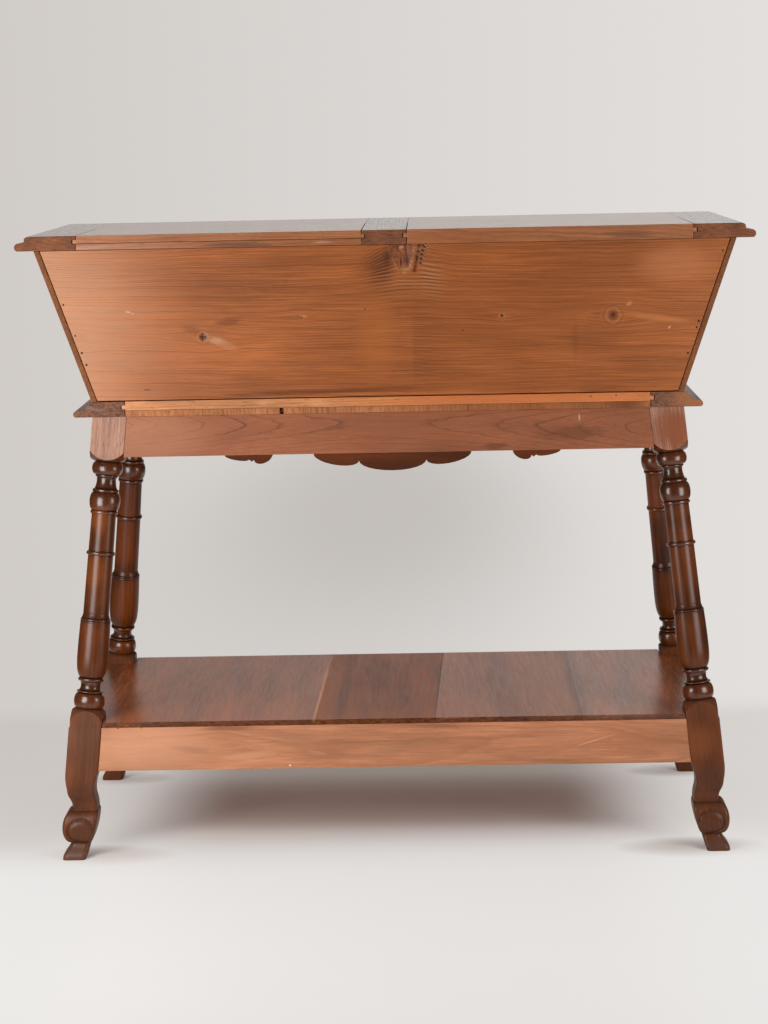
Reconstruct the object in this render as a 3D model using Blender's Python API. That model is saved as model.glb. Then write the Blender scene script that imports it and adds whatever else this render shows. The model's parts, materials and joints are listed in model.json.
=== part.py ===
"""Dough bin table: a turned and splayed stand, a loose bin with sloping sides and a lift-off lid.

Metres, +Z up. The plain back is at -Y and the scalloped apron at +Y. The origin is on the floor,
under the middle of the whole object's box. Run it with: blender --background --python part.py
"""

import math

import bmesh
import bpy
from mathutils import Matrix, Vector

# Clearances
GAP = 0.0003
TENON_PLAY = 0.0004
NOTCH_PLAY = 0.0015
CLEAT_PLAY = 0.004

# Bin: upright back, ends and front leaning out
BIN_BASE_WIDTH = 0.967
BIN_BASE_DEPTH = 0.396
BIN_HEIGHT = 0.247
BIN_SLOPE = math.radians(19.0)
BIN_BOARD = 0.020
BIN_LIP = 0.0088
BIN_FLOOR = 0.018

# Lid: end rails and a centre rail across the grain of four boards
LID_OVERHANG = 0.0315
LID_THICKNESS = 0.0235
LID_END_WIDTH = 0.100
LID_CENTRE_WIDTH = 0.072
LID_REAR_BOARD = 0.252
LID_STEP = 0.0088
LID_FILLET = 0.0038
LID_NOSE_REACH = 0.0166
LID_NOSE_SLOPE = 0.0022
LID_OVOLO_REACH = 0.0074
STRIP_HEIGHT = 0.0112
STRIP_DEPTH = 0.030
CLEAT_WIDTH = 0.032
CLEAT_HEIGHT = 0.020

# Tongues that join the boards of the lid and the table top to their end rails
TONGUE_LENGTH = 0.0057
TONGUE_THICKNESS = 0.0064
TONGUE_DROP = 0.0062
TONGUE_STOP = 0.012

# Table top: moulded end rails and front rail, long boards over cross boards
TOP_OVERHANG = 0.0312
TOP_THICKNESS = 0.025
TOP_END_WIDTH = 0.0847
TOP_FRONT_WIDTH = 0.085
TOP_BOARD = 0.0145
TOP_NOSE = 0.0105
TOP_NOSE_REACH = 0.0078
TOP_NOSE_SLOPE = 0.0006
TOP_COVE_REACH = 0.0172
CROSS_BOARD_WIDTHS = (0.2545, 0.300)
CROSS_BOARD_CRACK = 0.0065

# Stand
STAND_HEIGHT = 0.728
SPLAY_X = math.radians(5.8)
SPLAY_Y = math.radians(6.4)
BACK_INSET = 0.002
LEG_BLOCK = 0.056
LEG_BLOCK_LENGTH = 0.0667
POMMEL = 0.0105
LATHE_SIDES = 16

# Turned length of a leg, from the top down: height, top radius, bottom radius, bulge, steps
UPPER_TURNING = (
    (0.0217, 0.0190, 0.0190, 0.0063, 4),
    (0.0035, 0.0183, 0.0183, 0.0, 1),
    (0.0202, 0.0172, 0.0200, -0.0018, 3),
    (0.0051, 0.0205, 0.0205, 0.0012, 2),
    (0.0303, 0.0195, 0.0195, 0.0058, 6),
    (0.0056, 0.0212, 0.0212, 0.0012, 2),
    (0.0622, 0.0200, 0.0208, 0.0, 1),
    (0.0061, 0.0218, 0.0218, 0.0020, 2),
)
SHAFT_RADII = (0.0208, 0.0213)
LOWER_TURNING = (
    (0.0095, 0.0213, 0.0240, -0.0006, 2),
    (0.0030, 0.0240, 0.0240, 0.0010, 2),
    (0.0030, 0.0240, 0.0240, 0.0010, 2),
    (0.0417, 0.0250, 0.0254, 0.0008, 2),
    (0.0509, 0.0254, 0.0175, 0.0022, 4),
    (0.0051, 0.0208, 0.0208, 0.0014, 2),
    (0.0137, 0.0174, 0.0174, 0.0, 1),
    (0.0060, 0.0174, 0.0222, -0.0008, 2),
    (0.0258, 0.0200, 0.0200, 0.0061, 4),
)

# Foot: a square block with a ledge under the shelf, then a two-way cabriole with a scroll and a toe
FOOT_BLOCK = 0.053
FOOT_HEIGHT = 0.2465
FOOT_POMMEL = 0.0065
LEDGE = 0.0015
ANKLE_HEIGHT = 0.079
TOE_REACH = 0.0216
TOE_EDGE = 0.0050
# Each span: bottom height, (outer top, outer bottom, bulge), (inner top, inner bottom, bulge), arris, steps
FOOT_SPANS = (
    (0.150, (FOOT_BLOCK / 2 + LEDGE, 0.0275, 0.0), (FOOT_BLOCK / 2, 0.0265, 0.0), 0.002, 1),
    (0.112, (0.0275, 0.0235, 0.0012), (0.0265, 0.0212, -0.0012), 0.004, 3),
    (ANKLE_HEIGHT, (0.0235, 0.0118, -0.0022), (0.0212, 0.0284, 0.0008), 0.005, 3),
    (0.0268, (0.0150, 0.0118, 0.0128), (0.0284, 0.0218, 0.0046), 0.009, 6),
    (TOE_EDGE, (0.0118, TOE_REACH, -0.0008), (0.0218, 0.0176, 0.0), 0.007, 2),
    (0.0, (TOE_REACH, TOE_REACH, 0.0), (0.0176, 0.0165, 0.0), 0.007, 1),
)

# Rails
RAIL_HEIGHT = 0.066
RAIL_THICKNESS = 0.022
RAIL_REVEAL = 0.001
LOW_RAIL_HEIGHT = 0.071
LOW_RAIL_THICKNESS = 0.020
TENON_LENGTH = 0.022
TENON_THICKNESS = 0.009
TENON_SHOULDER = 0.012

# Apron's lower edge, from the end to the middle: distance out, depth below the top, bow to the next point
APRON_EDGE = (
    (0.385, RAIL_HEIGHT, -0.010),
    (0.301, 0.119, 0.005),
    (0.258, 0.1265, 0.0),
    (0.2525, 0.1305, 0.0),
    (0.249, 0.127, 0.0115),
    (0.2155, 0.118, -0.048),
    (0.1415, 0.119, 0.014),
    (0.0605, 0.132, 0.019),
)
APRON_STEPS = 12

# Shelf: boards laid front to back, with the seams where the real boards taper
SHELF_HEIGHT = 0.2277
SHELF_THICKNESS = 0.0085
SHELF_SEAMS_BACK = (-0.1283, 0.0680, 0.3100)
SHELF_SEAMS_FRONT = (-0.1218, 0.0850, 0.3090)
SHELF_CRACK = 0.0012

# Worked out from the sizes above
BIN_RISE = BIN_HEIGHT * math.tan(BIN_SLOPE)
BIN_WALL = BIN_BOARD / math.cos(BIN_SLOPE)
LID_WIDTH = BIN_BASE_WIDTH + 2 * (BIN_RISE + LID_OVERHANG)
LID_DEPTH = BIN_BASE_DEPTH + BIN_RISE + LID_OVERHANG
TOP_WIDTH = BIN_BASE_WIDTH + 2 * TOP_OVERHANG
TOP_DEPTH = BIN_BASE_DEPTH + TOP_OVERHANG
TOP_LEVEL = STAND_HEIGHT + TOP_THICKNESS
BIN_LEVEL = TOP_LEVEL + GAP
LID_LEVEL = BIN_LEVEL + BIN_HEIGHT + GAP
LEG_X = BIN_BASE_WIDTH / 2 - LEG_BLOCK / 2 / math.cos(SPLAY_X)
LEG_INSET_Y = LEG_BLOCK / 2 / math.cos(SPLAY_Y)
TOE_RUN = STAND_HEIGHT * math.tan(SPLAY_Y) + TOE_REACH
BACK_REACH = TOE_RUN - BACK_INSET - LEG_INSET_Y
FRONT_REACH = max(LID_DEPTH, BIN_BASE_DEPTH - LEG_INSET_Y + TOE_RUN)
BACK_Y = (BACK_REACH - FRONT_REACH) / 2
LEG_Y = {-1: BACK_Y + BACK_INSET + LEG_INSET_Y, 1: BACK_Y + BIN_BASE_DEPTH - LEG_INSET_Y}
SHELF_UNDERSIDE = SHELF_HEIGHT - SHELF_THICKNESS


def clear_scene():
    for obj in list(bpy.data.objects):
        bpy.data.objects.remove(obj)


def wood(name, colour, roughness):
    material = bpy.data.materials.new(name)
    material.use_nodes = True
    shader = material.node_tree.nodes["Principled BSDF"]
    shader.inputs["Base Color"].default_value = (*colour, 1.0)
    shader.inputs["Roughness"].default_value = roughness
    shader.inputs["Metallic"].default_value = 0.0
    return material


def empty(name, location):
    marker = bpy.data.objects.new(name, None)
    marker.location = location
    bpy.context.collection.objects.link(marker)
    return marker


def solid_from_rings(name, rings):
    """Closed mesh through rings of equally many points, with a cap at each end."""
    shape = bmesh.new()
    loops = [[shape.verts.new(point) for point in ring] for ring in rings]
    for low, high in zip(loops, loops[1:]):
        for i, corner in enumerate(low):
            j = (i + 1) % len(low)
            shape.faces.new((corner, low[j], high[j], high[i]))
    shape.faces.new(reversed(loops[0]))
    shape.faces.new(loops[-1])
    bmesh.ops.recalc_face_normals(shape, faces=shape.faces)
    mesh = bpy.data.meshes.new(name)
    shape.to_mesh(mesh)
    shape.free()
    return mesh


def piece(name, mesh, material, parent, matrix=None):
    """Named object at its place in the world, under the empty of its body."""
    obj = bpy.data.objects.new(name, mesh)
    bpy.context.collection.objects.link(obj)
    mesh.materials.append(material)
    obj.parent = parent
    obj.matrix_parent_inverse = Matrix.Translation(-parent.location)
    obj.matrix_basis = matrix or Matrix.Identity(4)
    return obj


def helper(name, mesh, matrix=None):
    """Object that only cuts or joins, and isn't a piece of the table."""
    obj = bpy.data.objects.new(name, mesh)
    bpy.context.collection.objects.link(obj)
    obj.matrix_basis = matrix or Matrix.Identity(4)
    obj.hide_render = True
    obj.display_type = "WIRE"
    return obj


def combine(obj, other, operation):
    modifier = obj.modifiers.new(f"{operation.lower()} {other.name}", "BOOLEAN")
    modifier.operation = operation
    modifier.solver = "EXACT"
    modifier.object = other


def rectangle(x0, x1, y0, y1, z):
    return [(x0, y0, z), (x1, y0, z), (x1, y1, z), (x0, y1, z)]


def box(name, x, y, z):
    return solid_from_rings(name, [rectangle(*x, *y, level) for level in z])


def moulded_board(name, x, y, bottom, profile, sides):
    """Board whose named sides follow a profile of (inset, height) points, mitred at the corners."""
    rings = []
    for inset, height in profile:
        left = inset if "left" in sides else 0.0
        right = inset if "right" in sides else 0.0
        front = inset if "front" in sides else 0.0
        rings.append(rectangle(x[0] + left, x[1] - right, y[0], y[1] - front, bottom + height))
    return solid_from_rings(name, rings)


def bowed(start, end, bow, steps):
    """Values from start to end along half an ellipse, as (share of the way, value)."""
    points = []
    for i in range(steps + 1):
        angle = math.pi * i / steps
        share = (1 - math.cos(angle)) / 2 if bow else i / steps
        points.append((share, start + (end - start) * share + bow * math.sin(angle)))
    return points


def nose(height):
    """Half-round edge of a moulding, from its underside to its top, as (inset, height)."""
    radius = height / 2
    angles = [math.radians(a) for a in (-68, -45, -22, 0, 25, 50, 75)]
    rise = radius / math.sin(angles[-1])
    return [(radius * (1 - math.cos(a)), radius + rise * math.sin(a)) for a in angles]


def lid_moulding():
    """Thumb nose with a sloping top, a fillet and an ovolo up to the flat of the lid."""
    shoulder = LID_THICKNESS - LID_STEP
    points = nose(shoulder - LID_NOSE_SLOPE)
    points[0] = (points[0][0], 0.0)
    points.append((LID_NOSE_REACH, shoulder))
    ovolo = LID_STEP - LID_FILLET
    for degrees in (0, 18, 36, 54, 72, 90):
        angle = math.radians(degrees)
        inset = LID_NOSE_REACH + LID_OVOLO_REACH * (1 - math.cos(angle))
        points.append((inset, shoulder + LID_FILLET + ovolo * math.sin(angle)))
    return points


def top_moulding():
    """Round nose under a hollow that sweeps up to the foot of the bin."""
    points = nose(TOP_NOSE - TOP_NOSE_SLOPE)
    points[0] = (points[0][0], 0.0)
    for degrees in (0, 15, 30, 45, 60, 75, 90):
        angle = math.radians(degrees)
        inset = TOP_NOSE_REACH + TOP_COVE_REACH * math.sin(angle)
        points.append((inset, TOP_NOSE + (TOP_THICKNESS - TOP_NOSE) * (1 - math.cos(angle))))
    return points


def square_edge(height):
    return [(0.0, 0.0), (0.0, height)]


def tongue_levels(top):
    return top - TONGUE_DROP - TONGUE_THICKNESS, top - TONGUE_DROP


def tongued_board(name, x, y, bottom, profile, sides, top, material, parent):
    """Board with a tongue on each end, set in a little from its back and its front edge."""
    board = piece(name, moulded_board(name, x, y, bottom, profile, sides), material, parent)
    reach = (x[0] - TONGUE_LENGTH, x[1] + TONGUE_LENGTH)
    stop = profile[-1][0] + TONGUE_STOP if "front" in sides else GAP
    bar = box(f"{name} tongues", reach, (y[0] + GAP, y[1] - stop), tongue_levels(top))
    combine(board, helper(f"{name} tongues", bar), "UNION")
    return board


def groove(rail, edge, inward, y, top):
    """Groove for the tongues, open at the back, from the rail's edge inwards."""
    x = sorted((edge - inward * TONGUE_LENGTH, edge + inward * (TONGUE_LENGTH + GAP)))
    low, high = tongue_levels(top)
    name = f"{rail.name} groove {'left' if inward < 0 else 'right'}"
    combine(rail, helper(name, box(name, x, y, (low - GAP, high + GAP))), "DIFFERENCE")


def make_lid(walnut, parent):
    profile = lid_moulding()
    flat = square_edge(LID_THICKNESS)
    top = LID_LEVEL + LID_THICKNESS
    half = LID_WIDTH / 2
    depth = (BACK_Y, BACK_Y + LID_DEPTH)
    groove_run = (BACK_Y - GAP - TONGUE_LENGTH, depth[1] - profile[-1][0] - TONGUE_STOP + GAP)
    inner = half - LID_END_WIDTH
    for side, word in ((-1, "left"), (1, "right")):
        x = sorted((side * inner, side * half))
        name = f"lid_end_{word}"
        mesh = moulded_board(name, x, depth, LID_LEVEL, profile, (word, "front"))
        groove(piece(name, mesh, walnut, parent), side * inner, side, groove_run, top)
    middle = LID_CENTRE_WIDTH / 2
    mesh = moulded_board("lid_centre_rail", (-middle, middle), depth, LID_LEVEL, profile, ("front",))
    rail = piece("lid_centre_rail", mesh, walnut, parent)
    for side in (-1, 1):
        groove(rail, side * middle, -side, groove_run, top)
        word = "left" if side < 0 else "right"
        x = sorted((side * (middle + GAP), side * (inner - GAP)))
        seam = BACK_Y + LID_REAR_BOARD
        rear = tongued_board(f"lid_board_{word}_rear", x, (BACK_Y, seam), LID_LEVEL, flat, (),
                             top, walnut, parent)
        tongued_board(f"lid_board_{word}_front", x, (seam + GAP, depth[1]), LID_LEVEL, profile, ("front",),
                      top, walnut, parent)
        if side < 0:
            make_lid_strip(rear, x, walnut, parent)
        make_cleat(f"lid_cleat_{word}", side, walnut, parent)


def make_lid_strip(board, x, walnut, parent):
    """Strip let into the lower back edge of the left rear board, which shows a line half-way down."""
    wide = (x[0] - STRIP_DEPTH, x[1] + STRIP_DEPTH)
    deep = (BACK_Y - STRIP_DEPTH, BACK_Y + STRIP_DEPTH)
    recess = box("strip recess", wide, deep, (LID_LEVEL - STRIP_HEIGHT, LID_LEVEL + STRIP_HEIGHT))
    combine(board, helper("strip recess", recess), "DIFFERENCE")
    strip = box("lid_rear_strip", x, (BACK_Y, BACK_Y + STRIP_DEPTH - GAP),
                (LID_LEVEL, LID_LEVEL + STRIP_HEIGHT - GAP))
    piece("lid_rear_strip", strip, walnut, parent)


def make_cleat(name, side, walnut, parent):
    """Batten under the lid that holds its boards flat and keeps it from sliding off the bin."""
    top = LID_LEVEL - GAP
    low = top - CLEAT_HEIGHT
    outer = bin_half_width(low) - BIN_WALL - CLEAT_PLAY
    x = sorted((side * (outer - CLEAT_WIDTH), side * outer))
    y = (BACK_Y + BIN_BOARD + CLEAT_PLAY, bin_front(low) - BIN_WALL - CLEAT_PLAY)
    piece(name, box(name, x, y, (low, top)), walnut, parent)


def bin_half_width(z):
    return BIN_BASE_WIDTH / 2 + (z - BIN_LEVEL) * math.tan(BIN_SLOPE)


def bin_front(z):
    return BACK_Y + BIN_BASE_DEPTH + (z - BIN_LEVEL) * math.tan(BIN_SLOPE)


def bin_end_outline(side, z):
    """Level section of an end board, rebated at both edges so that a thin lip covers back and front."""
    outer = bin_half_width(z)
    lip = outer - BIN_LIP
    inner = outer - BIN_WALL
    front = bin_front(z)
    back_face = BACK_Y + BIN_BOARD
    outline = [(outer, BACK_Y), (outer, front), (lip, front), (lip, front - BIN_WALL),
               (inner, front - BIN_WALL), (inner, back_face), (lip, back_face), (lip, BACK_Y)]
    return [(side * x, y, z) for x, y in outline]


def make_bin(pine, parent):
    levels = (BIN_LEVEL, BIN_LEVEL + BIN_HEIGHT)
    for side, word in ((-1, "left"), (1, "right")):
        name = f"bin_end_{word}"
        rings = [bin_end_outline(side, z) for z in levels]
        piece(name, solid_from_rings(name, rings), pine, parent)
    back = []
    front = []
    for z in levels:
        half = bin_half_width(z) - BIN_LIP - GAP
        back.append(rectangle(-half, half, BACK_Y, BACK_Y + BIN_BOARD - GAP, z))
        front.append(rectangle(-half, half, bin_front(z) - BIN_WALL + GAP, bin_front(z), z))
    piece("bin_back", solid_from_rings("bin_back", back), pine, parent)
    piece("bin_front", solid_from_rings("bin_front", front), pine, parent)
    floor_levels = (BIN_LEVEL, BIN_LEVEL + BIN_FLOOR)
    seam = BACK_Y + (BIN_BOARD + BIN_BASE_DEPTH - BIN_WALL) / 2
    rear_rings = []
    front_rings = []
    for z in floor_levels:
        half = bin_half_width(z) - BIN_WALL - GAP
        rear_rings.append(rectangle(-half, half, BACK_Y + BIN_BOARD + GAP, seam, z))
        front_rings.append(rectangle(-half, half, seam + GAP, bin_front(z) - BIN_WALL - GAP, z))
    piece("bin_floor_rear", solid_from_rings("bin_floor_rear", rear_rings), pine, parent)
    piece("bin_floor_front", solid_from_rings("bin_floor_front", front_rings), pine, parent)


def make_table_top(walnut, parent):
    profile = top_moulding()
    half = TOP_WIDTH / 2
    inner = half - TOP_END_WIDTH
    depth = (BACK_Y, BACK_Y + TOP_DEPTH)
    groove_run = (BACK_Y - GAP - TONGUE_LENGTH, depth[1] - profile[-1][0] - TONGUE_STOP + GAP)
    for side, word in ((-1, "left"), (1, "right")):
        name = f"top_end_{word}"
        x = sorted((side * inner, side * half))
        mesh = moulded_board(name, x, depth, STAND_HEIGHT, profile, (word, "front"))
        groove(piece(name, mesh, walnut, parent), side * inner, side, groove_run, TOP_LEVEL)
    x = (-inner + GAP, inner - GAP)
    front_seam = depth[1] - TOP_FRONT_WIDTH
    tongued_board("top_front_rail", x, (front_seam, depth[1]), STAND_HEIGHT, profile, ("front",),
                  TOP_LEVEL, walnut, parent)
    middle_seam = (BACK_Y + front_seam) / 2
    runs = {"rear": (BACK_Y, middle_seam), "middle": (middle_seam + GAP, front_seam - GAP)}
    for word, y in runs.items():
        tongued_board(f"top_board_{word}", x, y, TOP_LEVEL - TOP_BOARD, square_edge(TOP_BOARD), (),
                      TOP_LEVEL, walnut, parent)
    make_cross_boards(x, (BACK_Y, front_seam - GAP), walnut, parent)


def make_cross_boards(x, y, walnut, parent):
    """Boards laid front to back under the long ones, with one open crack between them."""
    levels = (STAND_HEIGHT, TOP_LEVEL - TOP_BOARD - GAP)
    first = x[0] + CROSS_BOARD_WIDTHS[0]
    second = first + CROSS_BOARD_CRACK + CROSS_BOARD_WIDTHS[1]
    runs = {
        "left": (x[0], first),
        "middle": (first + CROSS_BOARD_CRACK, second),
        "right": (second + GAP, x[1]),
    }
    for word, run in runs.items():
        name = f"top_cross_board_{word}"
        piece(name, box(name, run, y, levels), walnut, parent)


def leg_matrix(sx, sy):
    """Place of a leg: its axis leans out both ways from the middle of its block's top."""
    lean = Matrix.Rotation(sy * SPLAY_Y, 4, "X") @ Matrix.Rotation(-sx * SPLAY_X, 4, "Y")
    return Matrix.Translation((sx * LEG_X, LEG_Y[sy], STAND_HEIGHT)) @ lean


def column_angles():
    return [math.tau * i / LATHE_SIDES for i in range(LATHE_SIDES)]


def square_radius(half, angle):
    return half / max(abs(math.cos(angle)), abs(math.sin(angle)))


def pommel_rings(half, neck, depth, drop, direction):
    """Turned shoulder that rounds a square block down to a neck: rings from the block's edge inwards."""
    corner = half * math.sqrt(2)
    rings = []
    for share in (0.0, 0.5, 1.0):
        ring = []
        for angle in column_angles():
            edge = math.acos((square_radius(half, angle) - neck) / (corner - neck))
            turn = edge + (math.pi / 2 - edge) * share
            radius = neck + (corner - neck) * math.cos(turn)
            fall = drop + direction * depth * math.sin(turn)
            ring.append((radius * math.cos(angle), radius * math.sin(angle), -fall))
        rings.append(ring)
    return rings


def turned_rings(spans, drop):
    rings = []
    for height, top, bottom, bulge, steps in spans:
        for share, radius in bowed(top, bottom, bulge, steps):
            fall = drop + height * share
            rings.append([(radius * math.cos(a), radius * math.sin(a), -fall) for a in column_angles()])
        drop += height
    return rings


def foot_section(inner, outer, arris):
    """Square section from -inner to outer both ways, its corners rounded, in the order of the columns."""
    middle = (outer - inner) / 2
    soft = arris * (1 - math.sqrt(0.5))
    corners = ((outer, outer), (-inner, outer), (-inner, -inner), (outer, -inner))
    points = []
    for i, (x, y) in enumerate(corners):
        towards_x = -1 if x > 0 else 1
        towards_y = -1 if y > 0 else 1
        along_x = (x + towards_x * arris, y)
        along_y = (x, y + towards_y * arris)
        first, last = (along_y, along_x) if i % 2 == 0 else (along_x, along_y)
        side_middle = (x, middle) if i % 2 == 0 else (middle, y)
        points += [side_middle, first, (x + towards_x * soft, y + towards_y * soft), last]
    return points


def foot_rings(matrix, sx, sy):
    """Level sections of the foot, from the ledge under the shelf to the floor, in the leg's own frame."""
    to_leg = matrix.inverted()
    axis = matrix.to_3x3() @ Vector((0.0, 0.0, 1.0))
    rings = []
    top = SHELF_UNDERSIDE
    sections = [(top, FOOT_BLOCK / 2, FOOT_BLOCK / 2, FOOT_SPANS[0][3])]
    for bottom, outer, inner, arris, steps in FOOT_SPANS:
        outers = bowed(*outer, steps)
        inners = bowed(*inner, steps)
        for i in range(steps + 1):
            share = i / steps if steps < 3 else outers[i][0]
            sections.append((top + (bottom - top) * share, inners[i][1], outers[i][1], arris))
        top = bottom
    for z, inner, outer, arris in sections:
        centre = matrix.translation + axis * ((z - STAND_HEIGHT) / axis.z)
        outline = foot_section(inner, outer, arris)
        ring = [to_leg @ (centre + Vector((sx * x, sy * y, 0.0))) for x, y in outline]
        rings.append([(sx * p.x, sy * p.y, p.z) for p in ring])
    return rings


def without_repeats(rings):
    kept = [rings[0]]
    for ring in rings[1:]:
        apart = max((Vector(a) - Vector(b)).length for a, b in zip(ring, kept[-1]))
        if apart > GAP / 3:
            kept.append(ring)
    return kept


def make_leg(name, sx, sy, rails, walnut, parent):
    """Block, turning and foot in one piece, with mortises for the tenons of four rails."""
    matrix = leg_matrix(sx, sy)
    up = matrix.to_3x3().transposed() @ Vector((0.0, 0.0, 1.0))
    half = LEG_BLOCK / 2
    top_ring = []
    for angle in column_angles():
        x = square_radius(half, angle) * math.cos(angle)
        y = square_radius(half, angle) * math.sin(angle)
        top_ring.append((x, y, (-GAP - up.x * sx * x - up.y * sy * y) / up.z))
    length = (STAND_HEIGHT - FOOT_HEIGHT) / up.z
    turning_start = LEG_BLOCK_LENGTH + POMMEL
    fixed = sum(span[0] for span in UPPER_TURNING + LOWER_TURNING)
    shaft = ((length - turning_start - fixed, *SHAFT_RADII, 0.0, 1),)
    rings = [top_ring]
    rings += pommel_rings(half, UPPER_TURNING[0][1], POMMEL, LEG_BLOCK_LENGTH, 1)
    rings += turned_rings(UPPER_TURNING + shaft + LOWER_TURNING, turning_start)
    shoulder = pommel_rings(FOOT_BLOCK / 2, LOWER_TURNING[-1][2], FOOT_POMMEL, length + FOOT_POMMEL, -1)
    rings += reversed(shoulder)
    rings += foot_rings(matrix, sx, sy)
    rings = [[(sx * x, sy * y, z) for x, y, z in ring] for ring in without_repeats(rings)]
    mesh = solid_from_rings(name, rings)
    mesh.shade_smooth()
    mesh.set_sharp_from_angle(angle=math.radians(40))
    leg = piece(name, mesh, walnut, parent, matrix)
    for mortise in rails:
        combine(leg, mortise, "DIFFERENCE")


def drop_to_level(level, outward, lean):
    """Height in a leaning rail's frame of the level z, at a distance outward from the legs' axes."""
    return (level - STAND_HEIGHT - outward * math.sin(lean)) / math.cos(lean)


def shoulder_x(block, z):
    """Distance from the middle to a leg block's inner face, in the frame of a back or front rail."""
    return LEG_X - block / 2 / math.cos(SPLAY_X) - z * math.tan(SPLAY_X)


def shoulder_y(sy, block, outward, z):
    """Place along Y of a leg block's inner face, in the frame of a side rail."""
    world = outward * math.sin(SPLAY_X) + z * math.cos(SPLAY_X)
    return LEG_Y[sy] - sy * (block / 2 + world * math.sin(SPLAY_Y)) / math.cos(SPLAY_Y)


def long_rail_faces(block, level, depth, thickness, edge):
    """Outer and inner outline (x, out, z) of a back or front rail, whose lower edge may be shaped."""
    outer = block / 2 - RAIL_REVEAL
    outlines = []
    for out in (outer, outer - thickness):
        top = drop_to_level(level, out, SPLAY_Y)
        bottom = drop_to_level(level - depth, out, SPLAY_Y)
        ends = [shoulder_x(block, z) - GAP for z in (top, bottom)]
        lower = [(x, out, drop_to_level(level - d, out, SPLAY_Y)) for x, d in edge]
        mirrored = [(-x, y, z) for x, y, z in reversed(lower) if x > 0]
        outline = [(ends[1], out, bottom), *lower, *mirrored, (-ends[1], out, bottom)]
        outlines.append([*outline, (-ends[0], out, top), (ends[0], out, top)])
    return outlines


def side_rail_faces(block, level, depth, thickness):
    """Outer and inner outline (along, out, z) of a side rail, cut to the lean of both its legs."""
    outer = block / 2 - RAIL_REVEAL
    outlines = []
    for out in (outer, outer - thickness):
        corners = []
        for sy, drop in ((1, depth), (-1, depth), (-1, 0.0), (1, 0.0)):
            z = drop_to_level(level - drop, out, SPLAY_X)
            corners.append((shoulder_y(sy, block, out, z) - sy * GAP, out, z))
        outlines.append(corners)
    return outlines


def tenon_bar(ends, block, level, depth, thickness, lean, play):
    """Corners of the bar through a rail that stands out at both ends as its tenons."""
    centre = block / 2 - RAIL_REVEAL - thickness / 2
    outs = (centre - TENON_THICKNESS / 2 - play, centre + TENON_THICKNESS / 2 + play)
    high = drop_to_level(level - TENON_SHOULDER, centre, lean) + play
    low = drop_to_level(level - depth + TENON_SHOULDER, centre, lean) - play
    return (ends[0] - TENON_LENGTH - play, ends[1] + TENON_LENGTH + play), outs, (low, high)


def lower_edge(points):
    """Shaped lower edge as (distance out, depth) points from the end to the middle."""
    edge = []
    mirrored = points + ((-points[-1][0], points[-1][1], 0.0),)
    for (x0, d0, bow), (x1, d1, _) in zip(mirrored, mirrored[1:]):
        steps = APRON_STEPS if bow else 1
        values = bowed(d0, d1, bow, steps)
        edge += [(x0 + (x1 - x0) * share, depth) for share, depth in values[:-1]]
    return [point for point in edge if point[0] >= 0]


def make_rail(name, faces, bar, mortise_bar, outward, frame, material, parent):
    """Leaning rail with a tenon at each end. Returns the cutter for its mortises."""
    def turned(point):
        along, out, z = point
        return (along, outward * out, z) if frame.is_long else (outward * out, along, z)

    mesh = solid_from_rings(name, [[turned(point) for point in face] for face in faces])
    rail = piece(name, mesh, material, parent, frame.place)
    helpers = []
    for word, (along, outs, z) in (("tenons", bar), ("mortises", mortise_bar)):
        outs = sorted(outward * out for out in outs)
        x, y = (along, outs) if frame.is_long else (outs, along)
        helpers.append(helper(f"{name} {word}", box(f"{name} {word}", x, y, z), frame.place))
    combine(rail, helpers[0], "UNION")
    return helpers[1]


class RailFrame:
    """Leaning frame of a rail: where it stands and whether it runs along X."""

    def __init__(self, sx, sy):
        self.is_long = sx == 0
        if self.is_long:
            lean = Matrix.Rotation(sy * SPLAY_Y, 4, "X")
            self.place = Matrix.Translation((0.0, LEG_Y[sy], STAND_HEIGHT)) @ lean
        else:
            lean = Matrix.Rotation(-sx * SPLAY_X, 4, "Y")
            self.place = Matrix.Translation((sx * LEG_X, 0.0, STAND_HEIGHT)) @ lean


def make_long_rail(name, sy, block, level, depth, thickness, edge, material, parent):
    faces = long_rail_faces(block, level, depth, thickness, edge)
    reach = shoulder_x(block, drop_to_level(level, 0.0, SPLAY_Y))
    sizes = ((-reach, reach), block, level, depth, thickness, SPLAY_Y)
    bars = [tenon_bar(*sizes, play) for play in (0.0, TENON_PLAY)]
    return make_rail(name, faces, *bars, sy, RailFrame(0, sy), material, parent)


def make_side_rail(name, sx, block, level, depth, thickness, material, parent):
    faces = side_rail_faces(block, level, depth, thickness)
    z = drop_to_level(level, 0.0, SPLAY_X)
    ends = [shoulder_y(sy, block, 0.0, z) for sy in (-1, 1)]
    sizes = (ends, block, level, depth, thickness, SPLAY_X)
    bars = [tenon_bar(*sizes, play) for play in (0.0, TENON_PLAY)]
    return make_rail(name, faces, *bars, sx, RailFrame(sx, 0), material, parent)


def make_rails(walnut, softwood, parent):
    """The four upper and four lower rails. Returns the cutters for the mortises in each leg."""
    high = STAND_HEIGHT - GAP
    low = SHELF_UNDERSIDE - GAP
    upper = (LEG_BLOCK, high, RAIL_HEIGHT, RAIL_THICKNESS)
    lower = (FOOT_BLOCK, low, LOW_RAIL_HEIGHT, LOW_RAIL_THICKNESS)
    long_rails = {
        -1: (make_long_rail("back_rail", -1, *upper, (), softwood, parent),
             make_long_rail("shelf_rail_back", -1, *lower, (), softwood, parent)),
        1: (make_long_rail("front_apron", 1, *upper, lower_edge(APRON_EDGE), walnut, parent),
            make_long_rail("shelf_rail_front", 1, *lower, (), walnut, parent)),
    }
    side_rails = {
        sx: (make_side_rail(f"side_rail_{word}", sx, *upper, walnut, parent),
             make_side_rail(f"shelf_rail_{word}", sx, *lower, walnut, parent))
        for sx, word in ((-1, "left"), (1, "right"))
    }
    return long_rails, side_rails


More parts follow.
